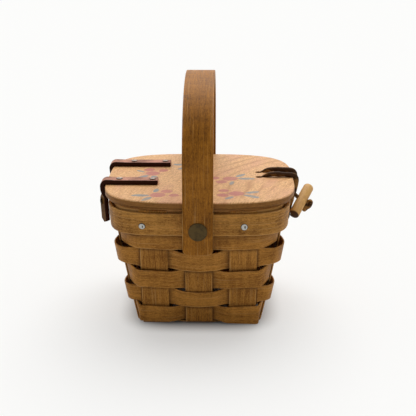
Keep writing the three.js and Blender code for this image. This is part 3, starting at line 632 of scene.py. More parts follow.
# Shift of a strip's grain across it, as a share of its shift along it
SHIFT_ACROSS = 0.31


def smooth_step(share):
    held = min(1.0, max(0.0, share))
    return held * held * (3.0 - 2.0 * held)


def eased(share, start, run):
    """Smooth step from 0 at a start to 1 after a run."""
    return smooth_step((share - start) / run)


def signed_power(value, power):
    return math.copysign(abs(value) ** power, value)


def mesh_from(bm, name):
    """Mesh of a bmesh that is then done with."""
    mesh = bpy.data.meshes.new(name)
    bm.to_mesh(mesh)
    bm.free()
    return mesh


def put(name, data):
    """New object in the scene."""
    made = bpy.data.objects.new(name, data)
    bpy.context.scene.collection.objects.link(made)
    return made


def finish_piece(bm, name, slot, body, thickness=0.0, rounding=0.0, look=None, nodes=None, blend=None):
    """Turns a bmesh into an object with its material and hides the nodes it takes the place of; it puts
    the object in its body, but for a piece given a blend it only bakes its place into the mesh.
    """
    mesh = mesh_from(bm, f"{name}_look")
    mesh.shade_smooth()
    mesh.set_sharp_from_angle(angle=SHARP_ANGLE)
    mesh.materials.append(MATERIALS[look or slot])
    piece = put(f"{name}_look", mesh)
    if thickness:
        solid = piece.modifiers.new("Thickness", "SOLIDIFY")
        solid.thickness = thickness
        solid.offset = 0.0
        solid.use_even_offset = True
    if rounding:
        bevel = piece.modifiers.new("Rounding", "BEVEL")
        bevel.width = rounding
        bevel.segments = ROUNDING_STEPS
        bevel.limit_method = "ANGLE"
        bevel.angle_limit = SHARP_ANGLE
    if blend:
        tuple(blend[2])
        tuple(blend[3])
        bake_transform(piece)
    else:
        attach(piece, body)
    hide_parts(*(nodes or [name]))
    return piece


def run_lengths(points):
    """Lengths along a line from its start to each of its points."""
    lengths = [0.0]
    for start, end in zip(points, points[1:]):
        lengths.append(lengths[-1] + (end - start).length)
    return lengths


def strip_mesh(columns, rows, point, shift=0.0, tuck=None):
    """Grid laid on point(column, row), with maps of its lengths, its shares and the painted shade where it
    tucks under.
    """
    bm = bmesh.new()
    grain = bm.loops.layers.uv.new("Grain")
    strip = bm.loops.layers.uv.new("Strip")
    # Map of the painted shade where the strip tucks under a neighbour
    painted_shade_layer = bm.loops.layers.uv.new("PaintedShade")
    bmesh.ops.create_grid(bm, x_segments=columns, y_segments=rows, size=0.5)
    places = {}
    table = {}
    for vert in bm.verts:
        column = round((vert.co.x + 0.5) * columns)
        row = round((vert.co.y + 0.5) * rows)
        places[vert] = (column, row)
        table[column, row] = Vector(point(column, row))
    runs = run_lengths([table[column, rows // 2] for column in range(columns + 1)])
    rises = run_lengths([table[columns // 2, row] for row in range(rows + 1)])
    for face in bm.faces:
        for loop in face.loops:
            column, row = places[loop.vert]
            loop[grain].uv = (runs[column] + shift, rises[row] + shift * SHIFT_ACROSS)
            loop[strip].uv = (column / columns, row / rows)
            if tuck:
                loop[painted_shade_layer].uv = (tuck(column, row), 0.0)
    for vert in bm.verts:
        vert.co = table[places[vert]]
    bmesh.ops.remove_doubles(bm, verts=bm.verts, dist=SAME_PLACE)
    bmesh.ops.recalc_face_normals(bm, faces=bm.faces)
    return bm


def turned_mesh(profile, steps, middle, axis, tilt=0.0):
    """Profile of (radius, height) turned about an axis through a middle point."""
    bm = bmesh.new()
    grain = bm.loops.layers.uv.new("Grain")
    strip = bm.loops.layers.uv.new("Strip")
    face_map = bm.loops.layers.uv.new("Face")
    verts = [bm.verts.new((radius, 0.0, height)) for radius, height in profile]
    edges = [bm.edges.new(pair) for pair in zip(verts, verts[1:])]
    bmesh.ops.spin(
        bm, geom=verts + edges, axis=UP, cent=(0, 0, 0), angle=math.tau, steps=steps, use_merge=True
    )
    bmesh.ops.remove_doubles(bm, verts=bm.verts, dist=SAME_PLACE / 10.0)
    bmesh.ops.recalc_face_normals(bm, faces=bm.faces)
    reach = max(radius for radius, _ in profile)
    low = min(height for _, height in profile)
    high = max(height for _, height in profile)
    for face in bm.faces:
        for loop in face.loops:
            here = loop.vert.co
            around = math.atan2(here.y, here.x)
            loop[grain].uv = (here.z, around * here.xy.length)
            loop[strip].uv = ((here.z - low) / (high - low), 0.5)
            loop[face_map].uv = here.xy / reach
    lean = Matrix.Rotation(tilt, 4, "X")
    turn = Vector(axis).to_track_quat("Z", "Y").to_matrix().to_4x4()
    bmesh.ops.transform(bm, matrix=Matrix.Translation(middle) @ turn @ lean, verts=bm.verts)
    return bm


def cord_rings(path, radii, sides, flat, closed, reference):
    """Rings of points round a path, one at each of its points."""
    count = len(path)
    rings = []
    over = reference
    for index, here in enumerate(path):
        before = path[index - 1] if closed or index else here
        after = path[(index + 1) % count] if closed or index + 1 < count else here
        along = (after - before).normalized()
        side = over.cross(along).normalized()
        over = along.cross(side)
        ring = []
        for step in range(sides):
            angle = math.tau * step / sides
            aside = side * (math.cos(angle) * radii[index])
            ring.append(here + aside + over * (math.sin(angle) * radii[index] * flat))
        rings.append(ring)
    return rings


def edges_among(items, verts):
    """Those of some items that are edges between the given vertices."""
    edges = [item for item in items if isinstance(item, bmesh.types.BMEdge)]
    return [edge for edge in edges if all(vert in verts for vert in edge.verts)]


def swept_mesh(path, radii, sides=12, flat=1.0, closed=False, reference=UP):
    """Cord along a path: one ring of vertices extruded from point to point."""
    bm = bmesh.new()
    grain = bm.loops.layers.uv.new("Grain")
    rings = cord_rings(path, radii, sides, flat, closed, reference)
    made = bmesh.ops.create_circle(bm, cap_ends=not closed, segments=sides, radius=1.0)
    first = made["verts"]
    for vert, place in zip(first, rings[0]):
        vert.co = place
    latest = first
    edges = edges_among(bm.edges, first)
    for ring in rings[1:]:
        made = bmesh.ops.extrude_edge_only(bm, edges=edges)["geom"]
        fresh = [item for item in made if isinstance(item, bmesh.types.BMVert)]
        edges = edges_among(made, fresh)
        partner = {}
        for vert in fresh:
            for edge in vert.link_edges:
                partner[edge.other_vert(vert)] = vert
        latest = [partner[vert] for vert in latest]
        for vert, place in zip(latest, ring):
            vert.co = place
    if closed:
        bmesh.ops.bridge_loops(bm, edges=edges + edges_among(bm.edges, first))
    else:
        bmesh.ops.contextual_create(bm, geom=edges)
    bmesh.ops.recalc_face_normals(bm, faces=bm.faces)
    for face in bm.faces:
        for loop in face.loops:
            here = loop.vert.co
            loop[grain].uv = (here.x + here.z, here.y + here.z * 0.5)
    return bm


def merged(meshes):
    """One bmesh out of several."""
    whole = bmesh.new()
    for part in meshes:
        kept = mesh_from(part, "part")
        whole.from_mesh(kept)
        bpy.data.meshes.remove(kept)
    return whole


# The wall's shape


SIDE_STEPS = 44
CORNER_STEPS = 12


def wall_share(weave, z):
    """How far the wall has widened from its foot to its rim, at a height."""
    share = z / weave.stake_top
    return share + 4.0 * share * (1.0 - share) * weave.belly / (weave.rim_half - weave.foot_half)


def bow(across, half, squareness):
    """Distance of a side from the middle, at a distance across it."""
    return half * (1.0 - abs(across / half) ** squareness) ** (1.0 / squareness)


def side_point(side, across, half, squareness):
    return Matrix.Rotation(side * math.pi / 2.0, 2) @ Vector((across, -bow(across, half, squareness)))


def weave_edge(weave):
    """Distance across a side at which its last stake ends and the corner starts."""
    return weave.stake_pitch + weave.stake_width / 2.0 + weave.stake_ease


def corner_point(weave, side, share, half, squareness):
    edge = weave_edge(weave)
    start = side_point(side, edge, half, squareness)
    end = side_point(side + 1, -edge, half, squareness)
    first = math.atan2(start.y, start.x)
    sweep = (math.atan2(end.y, end.x) - first) % math.tau
    x = math.cos(first + sweep * share)
    y = math.sin(first + sweep * share)
    reach = (abs(x) ** squareness + abs(y) ** squareness) ** (1.0 / squareness)
    return Vector((x, y)) * (half / reach)


def stations(weave, seam_side):
    """Places round the wall from a side's middle: side, distance across, share of the corner after it."""
    edge = weave_edge(weave)
    places = []
    for side in range(len(SIDES)):
        for step in range(SIDE_STEPS + 1):
            places.append((side, edge * (2.0 * step / SIDE_STEPS - 1.0), 0.0))
        for step in range(1, CORNER_STEPS):
            places.append((side, edge, step / CORNER_STEPS))
    seam = places.index((seam_side, 0.0, 0.0))
    return places[seam:] + places[:seam]


def wall_point(weave, place, z):
    side, across, corner = place
    plans = ((weave.foot_half, weave.foot_squareness), (weave.rim_half, weave.rim_squareness))
    if corner:
        foot, rim = [corner_point(weave, side, corner, *plan) for plan in plans]
    else:
        foot, rim = [side_point(side, across, *plan) for plan in plans]
    return foot.lerp(rim, wall_share(weave, z))


def wall_normals(points):
    count = len(points)
    normals = []
    for index in range(count):
        step = points[(index + 1) % count] - points[index - 1]
        normals.append(Vector((step.y, -step.x)).normalized())
    return normals


def ring_mesh(weave, rows, height, offset, shift, seam_side=2, shade=None):
    """Closed band round the wall, from its height(place, share of the width) and offset(place, z)."""
    places = stations(weave, seam_side)
    count = len(places)
    columns = []
    shades = []
    levels = range(rows + 1)
    mid_z = sum(height(places[0], level / rows) for level in levels) / (rows + 1)
    normals = wall_normals([wall_point(weave, place, mid_z) for place in places])
    for place, normal in zip(places, normals):
        column = []
        for level in levels:
            z = height(place, level / rows)
            flat = wall_point(weave, place, z) + normal * offset(place, z)
            column.append((flat.x, flat.y, z))
        columns.append(column)
        shades.append([shade(place, z) if shade else 0.0 for _, _, z in column])

    def point(column, row):
        return columns[column % count][row]

    # Painted shade at each vertex of the band
    def tuck(column, row):
        return shades[column % count][row]

    return strip_mesh(count, rows, point, shift, tuck)


# Stage


FLOOR_HALF = 30.0
KEY_STRENGTH = 2.3
KEY_SPREAD = math.radians(60.0)
KEY_FROM = Vector((0.08, 0.55, 1.0))
CAMERA_LENS = 77.9
CAMERA_SENSOR = 36.0
CAMERA_PLACE = Vector((17.0, -588.57, 260.47)) * MM
CAMERA_AIM = Vector((5.0, 0.0, 68.255)) * MM
FRONT_LIGHT = 0.2
BACK_LIGHT = 0.8


def stage_world():
    """Surround that shows white and lights less from the front than from the back."""
    world = bpy.data.worlds.new("surround")
    world.use_nodes = True
    nodes = Nodes(world.node_tree)
    _, depth, _ = nodes.split(nodes.add("ShaderNodeTexCoord", {}, {}, "Generated"))
    sockets = {"Value": depth, "From Min": -1.0, "To Min": FRONT_LIGHT, "To Max": BACK_LIGHT}
    dimming = nodes.add("ShaderNodeMapRange", {}, sockets)
    sockets = {"Value": nodes.shown(), "To Min": dimming, "To Max": 1.0}
    background = world.node_tree.nodes["Background"]
    nodes.feed(background.inputs["Color"], (1.0, 1.0, 1.0))
    nodes.feed(background.inputs["Strength"], nodes.add("ShaderNodeMapRange", {}, sockets))
    return world


def stage_view(colours):
    """Studio: pale floor, white surround, a broad light overhead and the camera."""
    scene = bpy.context.scene
    bm = bmesh.new()
    bmesh.ops.create_grid(bm, x_segments=1, y_segments=1, size=FLOOR_HALF)
    floor = put("studio_floor", mesh_from(bm, "studio_floor"))
    floor.data.materials.append(floor_look(colours))
    key = put("key", bpy.data.lights.new("key", "SUN"))
    key.data.energy = KEY_STRENGTH
    key.data.angle = KEY_SPREAD
    key.rotation_euler = KEY_FROM.to_track_quat("Z", "Y").to_euler()
    camera = put("camera", bpy.data.cameras.new("camera"))
    camera.data.lens = CAMERA_LENS
    camera.data.sensor_width = CAMERA_SENSOR
    camera.location = CAMERA_PLACE
    camera.rotation_euler = (CAMERA_AIM - camera.location).to_track_quat("-Z", "Y").to_euler()
    scene.camera = camera
    scene.world = stage_world()
    scene.view_settings.view_transform = "Standard"


# Stakes


# Steps of the meshes
STAKE_ROWS = 8
WALL_STEPS = 72
FOLD_STEPS = 8
FLOOR_STEPS = 60
# From the wall to the end of the level floor
FOLD_RUN = 3.2 * MM
SPLINT_ROUNDING = 0.16 * MM
# Reach of the shade under a row's lower edge, over its upper edge and behind an edge
SHADE_UNDER = 1.4 * MM
SHADE_OVER = 1.0 * MM
SHADE_BEHIND = 1.0 * MM
# Where the grain starts on each kind of strip, and from one strip to the next
STRIP_SHIFTS = {"long_strip": 0.0, "cross_strip": 0.77}
STRIP_SHIFT_STEP = 0.21


def floor_height(weave, stake, long_strip, run):
    """Middle height of a strip of the woven floor, at a distance from the floor's middle."""
    across = 0 if long_strip else 1
    heights = []
    for crossing in STAKES:
        over = (stake + crossing + across) % 2 != 0
        heights.append(weave.splint / 2.0 + (weave.weave_step if over else 0.0))
    half = weave.stake_width / 2.0
    outer = heights[2] if run > 0.0 else heights[0]
    share = smooth_step((abs(run) - half) / (weave.stake_pitch - 2.0 * half))
    return heights[1] + (outer - heights[1]) * share


def stake_path(weave, stake, long_strip, across):
    """Runs and heights of a line along a strip, from one wall's top through the floor to the other."""
    place = stake * weave.stake_pitch + across

    def run_at(z):
        foot = bow(place, weave.foot_half, weave.foot_squareness)
        rim = bow(place, weave.rim_half, weave.rim_squareness)
        return foot + (rim - foot) * wall_share(weave, z)

    climb = weave.stake_top - weave.fold_height
    half = []
    for step in range(WALL_STEPS):
        z = weave.stake_top - climb * step / WALL_STEPS
        half.append((run_at(z), z))
    top = Vector((run_at(weave.fold_height), weave.fold_height))
    floor_end = weave.foot_half - FOLD_RUN
    low = floor_height(weave, stake, long_strip, floor_end)
    elbow = Vector((run_at(low), low))
    foot = Vector((floor_end, low))
    for step in range(FOLD_STEPS):
        share = step / FOLD_STEPS
        half.append(tuple(top.lerp(elbow, share).lerp(elbow.lerp(foot, share), share)))
    middle = []
    for step in range(FLOOR_STEPS + 1):
        run = floor_end * (2.0 * step / FLOOR_STEPS - 1.0)
        middle.append((run, floor_height(weave, stake, long_strip, run)))
    return [(-run, z) for run, z in half] + middle + half[::-1]


def edge_shade(past, reach):
    """Shade beside an edge: full at the edge, fading on the open side and soon behind it."""
    return math.exp(-past / reach) if past > 0.0 else math.exp(past / SHADE_BEHIND)


def stake_shade(edges, z):
    """Shade on a stake at a height, below and above each row that passes outside it."""
    shade = 0.0
    for bottom, top in edges:
        if z < (bottom + top) / 2.0:
            near = edge_shade(bottom - z, SHADE_UNDER)
        else:
            near = edge_shade(z - top, SHADE_OVER)
        shade = max(shade, near)
    return shade


def covering_rows(weave, side, crossing):
    """Lower and upper edges of the rows that pass outside a stake."""
    place = (side, crossing * weave.stake_pitch, 0.0)
    return [row_edges(weave, place, level) for level in LEVELS if runs_outside(side, crossing, level)]


def build_strip(weave, kind, where, stake):
    """One splint: the floor and, at both ends, a stake."""
    long_strip = kind == "long_strip"
    lines = []
    for row in range(STAKE_ROWS + 1):
        across = weave.stake_width * (row / STAKE_ROWS - 0.5)
        lines.append((across, stake_path(weave, stake, long_strip, across)))
    ends = ((0, stake), (2, -stake)) if long_strip else ((3, -stake), (1, stake))
    edges = [covering_rows(weave, side, crossing) for side, crossing in ends]

    def point(column, row):
        across, line = lines[row]
        run, z = line[column]
        aside = stake * weave.stake_pitch + across
        return (aside, run, z) if long_strip else (run, aside, z)

    # Painted shade on the stake above and below the rows that pass outside it
    def tuck(column, row):
        run, z = lines[row][1][column]
        return stake_shade(edges[run > 0.0], z) if z > weave.fold_height else 0.0

    shift = STRIP_SHIFT_STEP * (stake + 2) + STRIP_SHIFTS[kind]
    bm = strip_mesh(len(lines[0][1]) - 1, STAKE_ROWS, point, shift, tuck)
    finish_piece(bm, f"{kind}_{where}", "splint", "basket", weave.splint, SPLINT_ROUNDING)


def build_stakes(weave):
    """Three long and three cross splints."""
    for kind, places in (
        ("long_strip", ("left", "middle", "right")),
        ("cross_strip", ("front", "middle", "back")),
    ):
        for stake, where in zip(STAKES, places):
            build_strip(weave, kind, where, stake)


# Weaver rows


WEAVER_ROWS = 6
# Where the grain starts on the lowest row, and from one row to the next
ROW_SHIFT = 1.3
ROW_SHIFT_STEP = 0.37
# How soon a row comes out at a corner: late on rows 1, 3 and 5, early on rows 2 and 4
LATE_CORNER = 1.6
EARLY_CORNER = 1.7
# How the stand-off grows round the corner and along the last stake, and the climb along a side
CORNER_POWER = 1.5
STAND_POWER = 0.6
CLIMB_POWER = 1.3
# Shade on the top row under the band
BAND_SHADE = 0.8
BAND_SHADE_REACH = 2.6 * MM


def runs_outside(side, stake, level):
    """Whether a row passes in front of a stake: rows and stakes take turns."""
    return (side + stake + level) % 2 != 0


def nearest_stake(weave, across):
    return min(STAKES, key=lambda stake: abs(across - stake * weave.stake_pitch))


def corner_near(place, level):
    """Share of a corner passed on the way to the stake that the weaver runs outside of."""
    side, _, corner = place
    return 1.0 - corner if runs_outside(side, 1, level) else corner


def row_outside(weave, place, level):
    """How far outside a weaver lies at a place: 0 behind the stakes, 1 in front of them."""
    side, across, corner = place
    if corner:
        near = corner_near(place, level)
        late = runs_outside(0, 1, level)
        return smooth_step(LATE_CORNER * near + 1.0 - LATE_CORNER if late else EARLY_CORNER * near)
    half = weave.stake_width / 2.0 + weave.stake_ease
    stake = nearest_stake(weave, across)
    here = 1.0 if runs_outside(side, stake, level) else 0.0
    off = across - stake * weave.stake_pitch
    if abs(off) <= half or abs(stake + math.copysign(1, off)) > 1:
        return here
    share = smooth_step((abs(off) - half) / (weave.stake_pitch - 2.0 * half))
    return here + (1.0 - 2.0 * here) * share


def row_stand_off(weave, place, level):
    """How far a weaver arches off the corner stake it runs outside of, and off the corner beside it."""
    side, across, corner = place
    bulge = weave.corner_bulges[level]
    if corner:
        return bulge * math.sin(corner_near(place, level) * math.pi / 2.0) ** CORNER_POWER
    stake = 1 if across > 0.0 else -1
    half = weave.stake_width / 2.0 + weave.stake_ease
    past = (abs(across) - weave.stake_pitch + half) / (2.0 * half)
    if past <= 0.0 or not runs_outside(side, stake, level):
        return 0.0
    return bulge * smooth_step(past) ** STAND_POWER


def row_climb(weave, place):
    """Rows dip at the middle of a side and climb to the corners."""
    side, across, corner = place
    climbs = (weave.front_climb, weave.side_climb)
    climb = climbs[side % 2]
    if corner:
        level = climb + (climbs[(side + 1) % 2] - climb) * corner
        return level + weave.corner_climb * math.sin(corner * math.pi)
    share = math.sin(math.pi * abs(across) / (2.0 * weave_edge(weave))) ** CLIMB_POWER
    return (climb + weave.row_dip) * share - weave.row_dip


def row_edges(weave, place, level):
    """Heights of a row's lower and upper edges at a place."""
    low = weave.row_foot + sum(weave.row_heights[:level]) + weave.row_slit / 2.0
    high = low + weave.row_heights[level] - weave.row_slit
    climb = row_climb(weave, place)
    outside = row_outside(weave, place, level)
    bottom = low + climb * weave.climb_shares[level]
    if level == LEVELS[0]:
        slant = 1.0 + weave.droop_slant * wall_point(weave, place, 0.0).x / weave.foot_half
        bottom -= weave.row_droop * slant * outside
    top = high + climb * weave.climb_shares[level + 1]
    if level != LEVELS[-1]:
        top -= weave.row_sag * outside
    return bottom, top


def row_shade(weave, rim, place, level, z):
    """Shade on a row beside each stake that it passes behind, and under the band."""
    side, across, corner = place
    shade = BAND_SHADE * edge_shade(rim.bottom - z, BAND_SHADE_REACH) if level == LEVELS[-1] else 0.0
    stake = nearest_stake(weave, across)
    if corner or runs_outside(side, stake, level):
        return shade
    past = abs(across - stake * weave.stake_pitch) - weave.stake_width / 2.0
    return max(shade, edge_shade(past, SHADE_UNDER))


def build_rows(weave, rim):
    """Five closed rows, each in front of and behind the stakes in turn."""
    for level in LEVELS:

        def height(place, share):
            bottom, top = row_edges(weave, place, level)
            return bottom + (top - bottom) * share

        def offset(place, z):
            outside = 2.0 * row_outside(weave, place, level) - 1.0
            return weave.weave_step * outside + row_stand_off(weave, place, level)

        def shade(place, z):
            return row_shade(weave, rim, place, level, z)

        shift = ROW_SHIFT + ROW_SHIFT_STEP * level
        bm = ring_mesh(weave, WEAVER_ROWS, height, offset, shift, 2 + level % 2, shade)
        name = f"weaver_row_{level + 1}"
        finish_piece(bm, name, "splint", "basket", weave.splint, SPLINT_ROUNDING)


# Rim bands and their nails


BAND_ROWS = 8
OUTER_SHIFT = 3.9
INNER_SHIFT = 4.7
OUTER_ROUNDING = 0.55 * MM
INNER_ROUNDING = 0.5 * MM
# Space between the wall and the inner band
INNER_STAND = 0.75 * MM
NAIL_STEPS = 28
# How far a rim nail's head sinks into the band, and how the two of a side lean, in degrees
NAIL_SINK = 0.08 * MM
RIM_NAIL_TILTS = (9.0, -7.0)
# Step over which the slope of the band's face is measured
PROBE = 0.5 * MM


def band_stand(rim, z):
    """Outer band's inner face from the wall, at a height."""
    share = (z - rim.bottom) / (rim.top - rim.bottom)
    return rim.lower_stand + (rim.upper_stand - rim.lower_stand) * share


def build_band(weave, name, bottom, top, offset, shift, thickness, rounding, look):
    def height(place, share):
        return bottom + (top - bottom) * share

    bm = ring_mesh(weave, BAND_ROWS, height, offset, shift)
    finish_piece(bm, name, "band", "basket", thickness, rounding, look)


def build_bands(weave, rim):
    """Outer band, which the nails hold, and the inner band that the lid rests on."""

    def outside(place, z):
        return band_stand(rim, z) + rim.thickness / 2.0

    def inside(place, z):
        return -INNER_STAND - rim.inner_thickness / 2.0

    outer = (rim.bottom, rim.top, outside, OUTER_SHIFT, rim.thickness, OUTER_ROUNDING, "band")
    build_band(weave, "rim_band_outer", *outer)
    thickness = rim.inner_thickness
    inner = (rim.inner_bottom, rim.inner_top, inside, INNER_SHIFT, thickness, INNER_ROUNDING, "band_inner")
    build_band(weave, "rim_band_inner", *inner)


def nail_mesh(rim, seat, outward, degrees):
    """Domed head with its shank driven in; the seat is the middle of the head's underside."""
    head = rim.nail_head / 2.0
    shank = rim.nail_shank / 2.0
    profile = (
        (0.0, -rim.nail_bite),
        (shank * 0.5, -rim.nail_bite + 0.8 * MM),
        (shank, -rim.nail_bite + 1.6 * MM),
        (shank, 0.0),
        (head * 0.94, 0.0),
        (head, 0.2 * MM),
        (head * 0.93, 0.5 * MM),
        (head * 0.75, 0.72 * MM),
        (head * 0.5, 0.74 * MM),
        (head * 0.25, 0.62 * MM),
        (0.0, 0.58 * MM),
    )
    return turned_mesh(profile, NAIL_STEPS, seat, outward, math.radians(degrees))


def box_middle(node):
    low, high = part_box(node)
    return (Vector(low) + Vector(high)) / 2.0


def build_rim_nails(weave, rim):
    """Two nails a side, seated on the band where their nodes are."""
    for side, where in enumerate(SIDES):
        for index, degrees in enumerate(RIM_NAIL_TILTS, 1):
            name = f"rim_nail_{where}_{index}"
            middle = box_middle(name)
            flat = Matrix.Rotation(-side * math.pi / 2.0, 2) @ middle.xy
            seat, outward = band_seat(weave, rim, side, flat.x, middle.z)
            bm = nail_mesh(rim, seat - outward * NAIL_SINK, outward, degrees)
            finish_piece(bm, name, "nail", "basket")


def band_seat(weave, rim, side, across, z):
    """Point on the outer band's face and the direction out of it."""

    def at(aside, height):
        flat = wall_point(weave, (side, aside, 0.0), height)
        beside = wall_point(weave, (side, aside + PROBE, 0.0), height)
        step = (beside - flat).normalized()
        face = flat + Vector((step.y, -step.x)) * (band_stand(rim, height) + rim.thickness)
        return Vector((face.x, face.y, height))

    here = at(across, z)
    sideways = at(across + PROBE, z) - here
    upward = at(across, z + PROBE) - here
    return here, sideways.cross(upward).normalized()


# Handle rivets


RIVET_STEPS = 64
BURR_STEPS = 48


def box_depths(node):
    """Distances of a node's inner and outer faces from the basket's middle, front to back."""
    low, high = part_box(node)
    return sorted((abs(low[1]), abs(high[1])))


def rivet_profile(rim, top):
    """Spread tail, shank and a domed head that ends at the top."""
    head = rim.rivet_head / 2.0
    shank = rim.rivet_shank / 2.0
    return (
        (0.0, 0.0),
        (shank * 1.15, 0.0),
        (shank * 1.3, 0.3 * MM),
        (shank * 1.1, 0.7 * MM),
        (shank, 1.0 * MM),
        (shank, top - 1.7 * MM),
        (head * 0.98, top - 1.7 * MM),
        (head, top - 1.3 * MM),
        (head * 0.99, top - 0.9 * MM),
        (head * 0.93, top - 0.45 * MM),
        (head * 0.8, top - 0.22 * MM),
        (head * 0.45, top - 0.06 * MM),
        (0.0, top),
    )


def burr_profile(rim, depth):
    """Washer with one eased edge."""
    hole = rim.rivet_shank / 2.0
    wide = rim.burr / 2.0
    ease = 0.3 * MM
    return ((hole, 0.0), (wide - ease, 0.0), (wide, ease), (wide, depth), (hole, depth), (hole, 0.0))


def build_rivets(rim, handle):
    """A rivet and its burr at each end of the handle."""
    kinds = (("handle_rivet", rivet_profile, RIVET_STEPS), ("rivet_burr", burr_profile, BURR_STEPS))
    for where, sign in (("front", -1.0), ("back", 1.0)):
        for kind, profile, steps in kinds:
            name = f"{kind}_{where}"
            inner, outer = box_depths(name)
            seat = (0.0, sign * inner, handle.rivet)
            bm = turned_mesh(profile(rim, outer - inner), steps, seat, (0.0, sign, 0.0))
            finish_piece(bm, name, "rivet", "basket")


# Lid


LID_STEPS = 240
# Powers of the lid's outline, across and front to back
LID_POWERS = (3.0, 4.0)
# Depth and height of the groove between lip and board, and the board's eased lower edge
GROOVE_DEPTH = 1.0 * MM
GROOVE_HEIGHT = 0.5 * MM
EASE_WIDTH = 0.4 * MM
EASE_HEIGHT = 0.3 * MM
HOLE_EASE = 0.5 * MM
HOLE_STEPS = 24
DRILL_LENGTH = 20.0 * MM


def lid_reach(lid, y):
    """Distance from the middle to the hinge or latch edge, at a depth."""
    return lid.half_width * (1.0 - (abs(y) / lid.half_depth) ** LID_POWERS[1]) ** (1.0 / LID_POWERS[0])


def lid_mesh(lid):
    """Board on a narrow lip: the outline raised from level to level, each with its own inset."""
    groove = lid.bottom + lid.lip
    levels = (
        (lid.bottom, lid.lip_inset),
        (groove, lid.lip_inset),
        (groove, lid.lip_inset + GROOVE_DEPTH),
        (groove + GROOVE_HEIGHT, lid.lip_inset + GROOVE_DEPTH),
        (groove + GROOVE_HEIGHT, EASE_WIDTH),
        (groove + GROOVE_HEIGHT + EASE_HEIGHT, 0.0),
        (lid.top, 0.0),
    )
    bm = bmesh.new()
    for vert in bmesh.ops.create_circle(bm, cap_ends=True, segments=LID_STEPS, radius=1.0)["verts"]:
        vert.co.x = signed_power(vert.co.x, 2.0 / LID_POWERS[0])
        vert.co.y = signed_power(vert.co.y, 2.0 / LID_POWERS[1])
    cap = list(bm.faces)
    reach = Vector((1.0, 1.0))
    for z, inset in levels:
        wanted = Vector((lid.half_width - inset, lid.half_depth - inset))
        if z > lid.bottom:
            made = bmesh.ops.extrude_face_region(bm, geom=cap)["geom"]
            cap = [item for item in made if isinstance(item, bmesh.types.BMFace)]
        for vert in cap[0].verts:
            vert.co = (vert.co.x * wanted.x / reach.x, vert.co.y * wanted.y / reach.y, z)
        reach = wanted
    bmesh.ops.recalc_face_normals(bm, faces=bm.faces)
    for z, rounding, steps in ((lid.top, lid.rounding, 4), (lid.bottom, lid.rounding / 4.0, 2)):
        verts = [vert for vert in bm.verts if abs(vert.co.z - z) < SAME_PLACE]
        bmesh.ops.bevel(
            bm,
            geom=edges_among(bm.edges, set(verts)),
            offset=rounding,
            offset_type="OFFSET",
            segments=steps,
            profile=0.5,
            affect="EDGES",
            material=-1,
        )
    return bm


def build_lid(lid, leather):
    """Board with a hole for each strand of the lace."""
    board = finish_piece(lid_mesh(lid), "lid_board", "lid", "lid")
    middle_z = (lid.bottom + lid.top) / 2.0
    for y in strand_places(leather):
        drill_hole(board, Vector((leather.lace_hole, y, middle_z)), leather.lace / 2.0 + HOLE_EASE)


def drill_hole(piece, middle, radius):
    """Cuts an upright round hole and leaves nothing of the drill."""
    bm = bmesh.new()
    bmesh.ops.create_cone(
        bm, cap_ends=True, segments=HOLE_STEPS, radius1=radius, radius2=radius, depth=DRILL_LENGTH
    )
    bmesh.ops.translate(bm, vec=middle, verts=bm.verts)
    mesh = mesh_from(bm, "drill")
    drill = put("drill", mesh)
    cut = piece.modifiers.new("Hole", "BOOLEAN")
    cut.operation = "DIFFERENCE"
    cut.object = drill
    cut.solver = "EXACT"
    bpy.context.view_layer.objects.active = piece
    bpy.ops.object.modifier_apply(modifier=cut.name)
    bpy.data.objects.remove(drill)
    bpy.data.meshes.remove(mesh)


# Hinge straps


# Place across the lid and length on it, in millimetres
STRAPS = (("front", -18.0, 34.8), ("back", 27.0, 40.0))
STRAP_ROWS = 8
# Steps on the lid, over its edge and down
STRAP_STEPS = (20, 14, 30)
STRAP_SHIFT = 0.4
STRAP_ROUNDING = 0.45 * MM
# Space under the strap on the lid and round its edge, and how far it lifts just before the edge
LID_GAP = 0.05 * MM
EDGE_GAP = 0.3 * MM
EDGE_LIFT = 0.25 * MM
# The hanging end: slope of its cut corners, turn, narrowing, lean towards the wall, depth of its crease
TIP_SLOPE = 4.0 * MM
STRAP_TWIST = math.radians(30.0)
STRAP_SLIM = 0.1
STRAP_LEAN = 1.2 * MM
STRAP_CREASE = 0.7 * MM
# Shares of its length at which the strap starts to lift, turn and narrow, and over how much
LIFT_RUN = (0.8, 0.2)
TWIST_RUN = (0.12, 0.3)
SLIM_RUN = (0.0, 0.4)
# Share of its length at which the strap creases, and the crease's width
CREASE_PLACE = 0.27
CREASE_WIDTH = 0.1
# Heights between which a strap passes from the basket to the lid
BEND_BOTTOM = 0.0805
BEND_TOP = 0.0875
# Lean of the nails on the lid and of the tack in the band, in degrees
STRAP_NAIL_TILT = 4.0
TACK_TILT = 6.0
STRAP_NAIL_SINK = 0.02 * MM
TACK_HEAD = 0.75 * MM


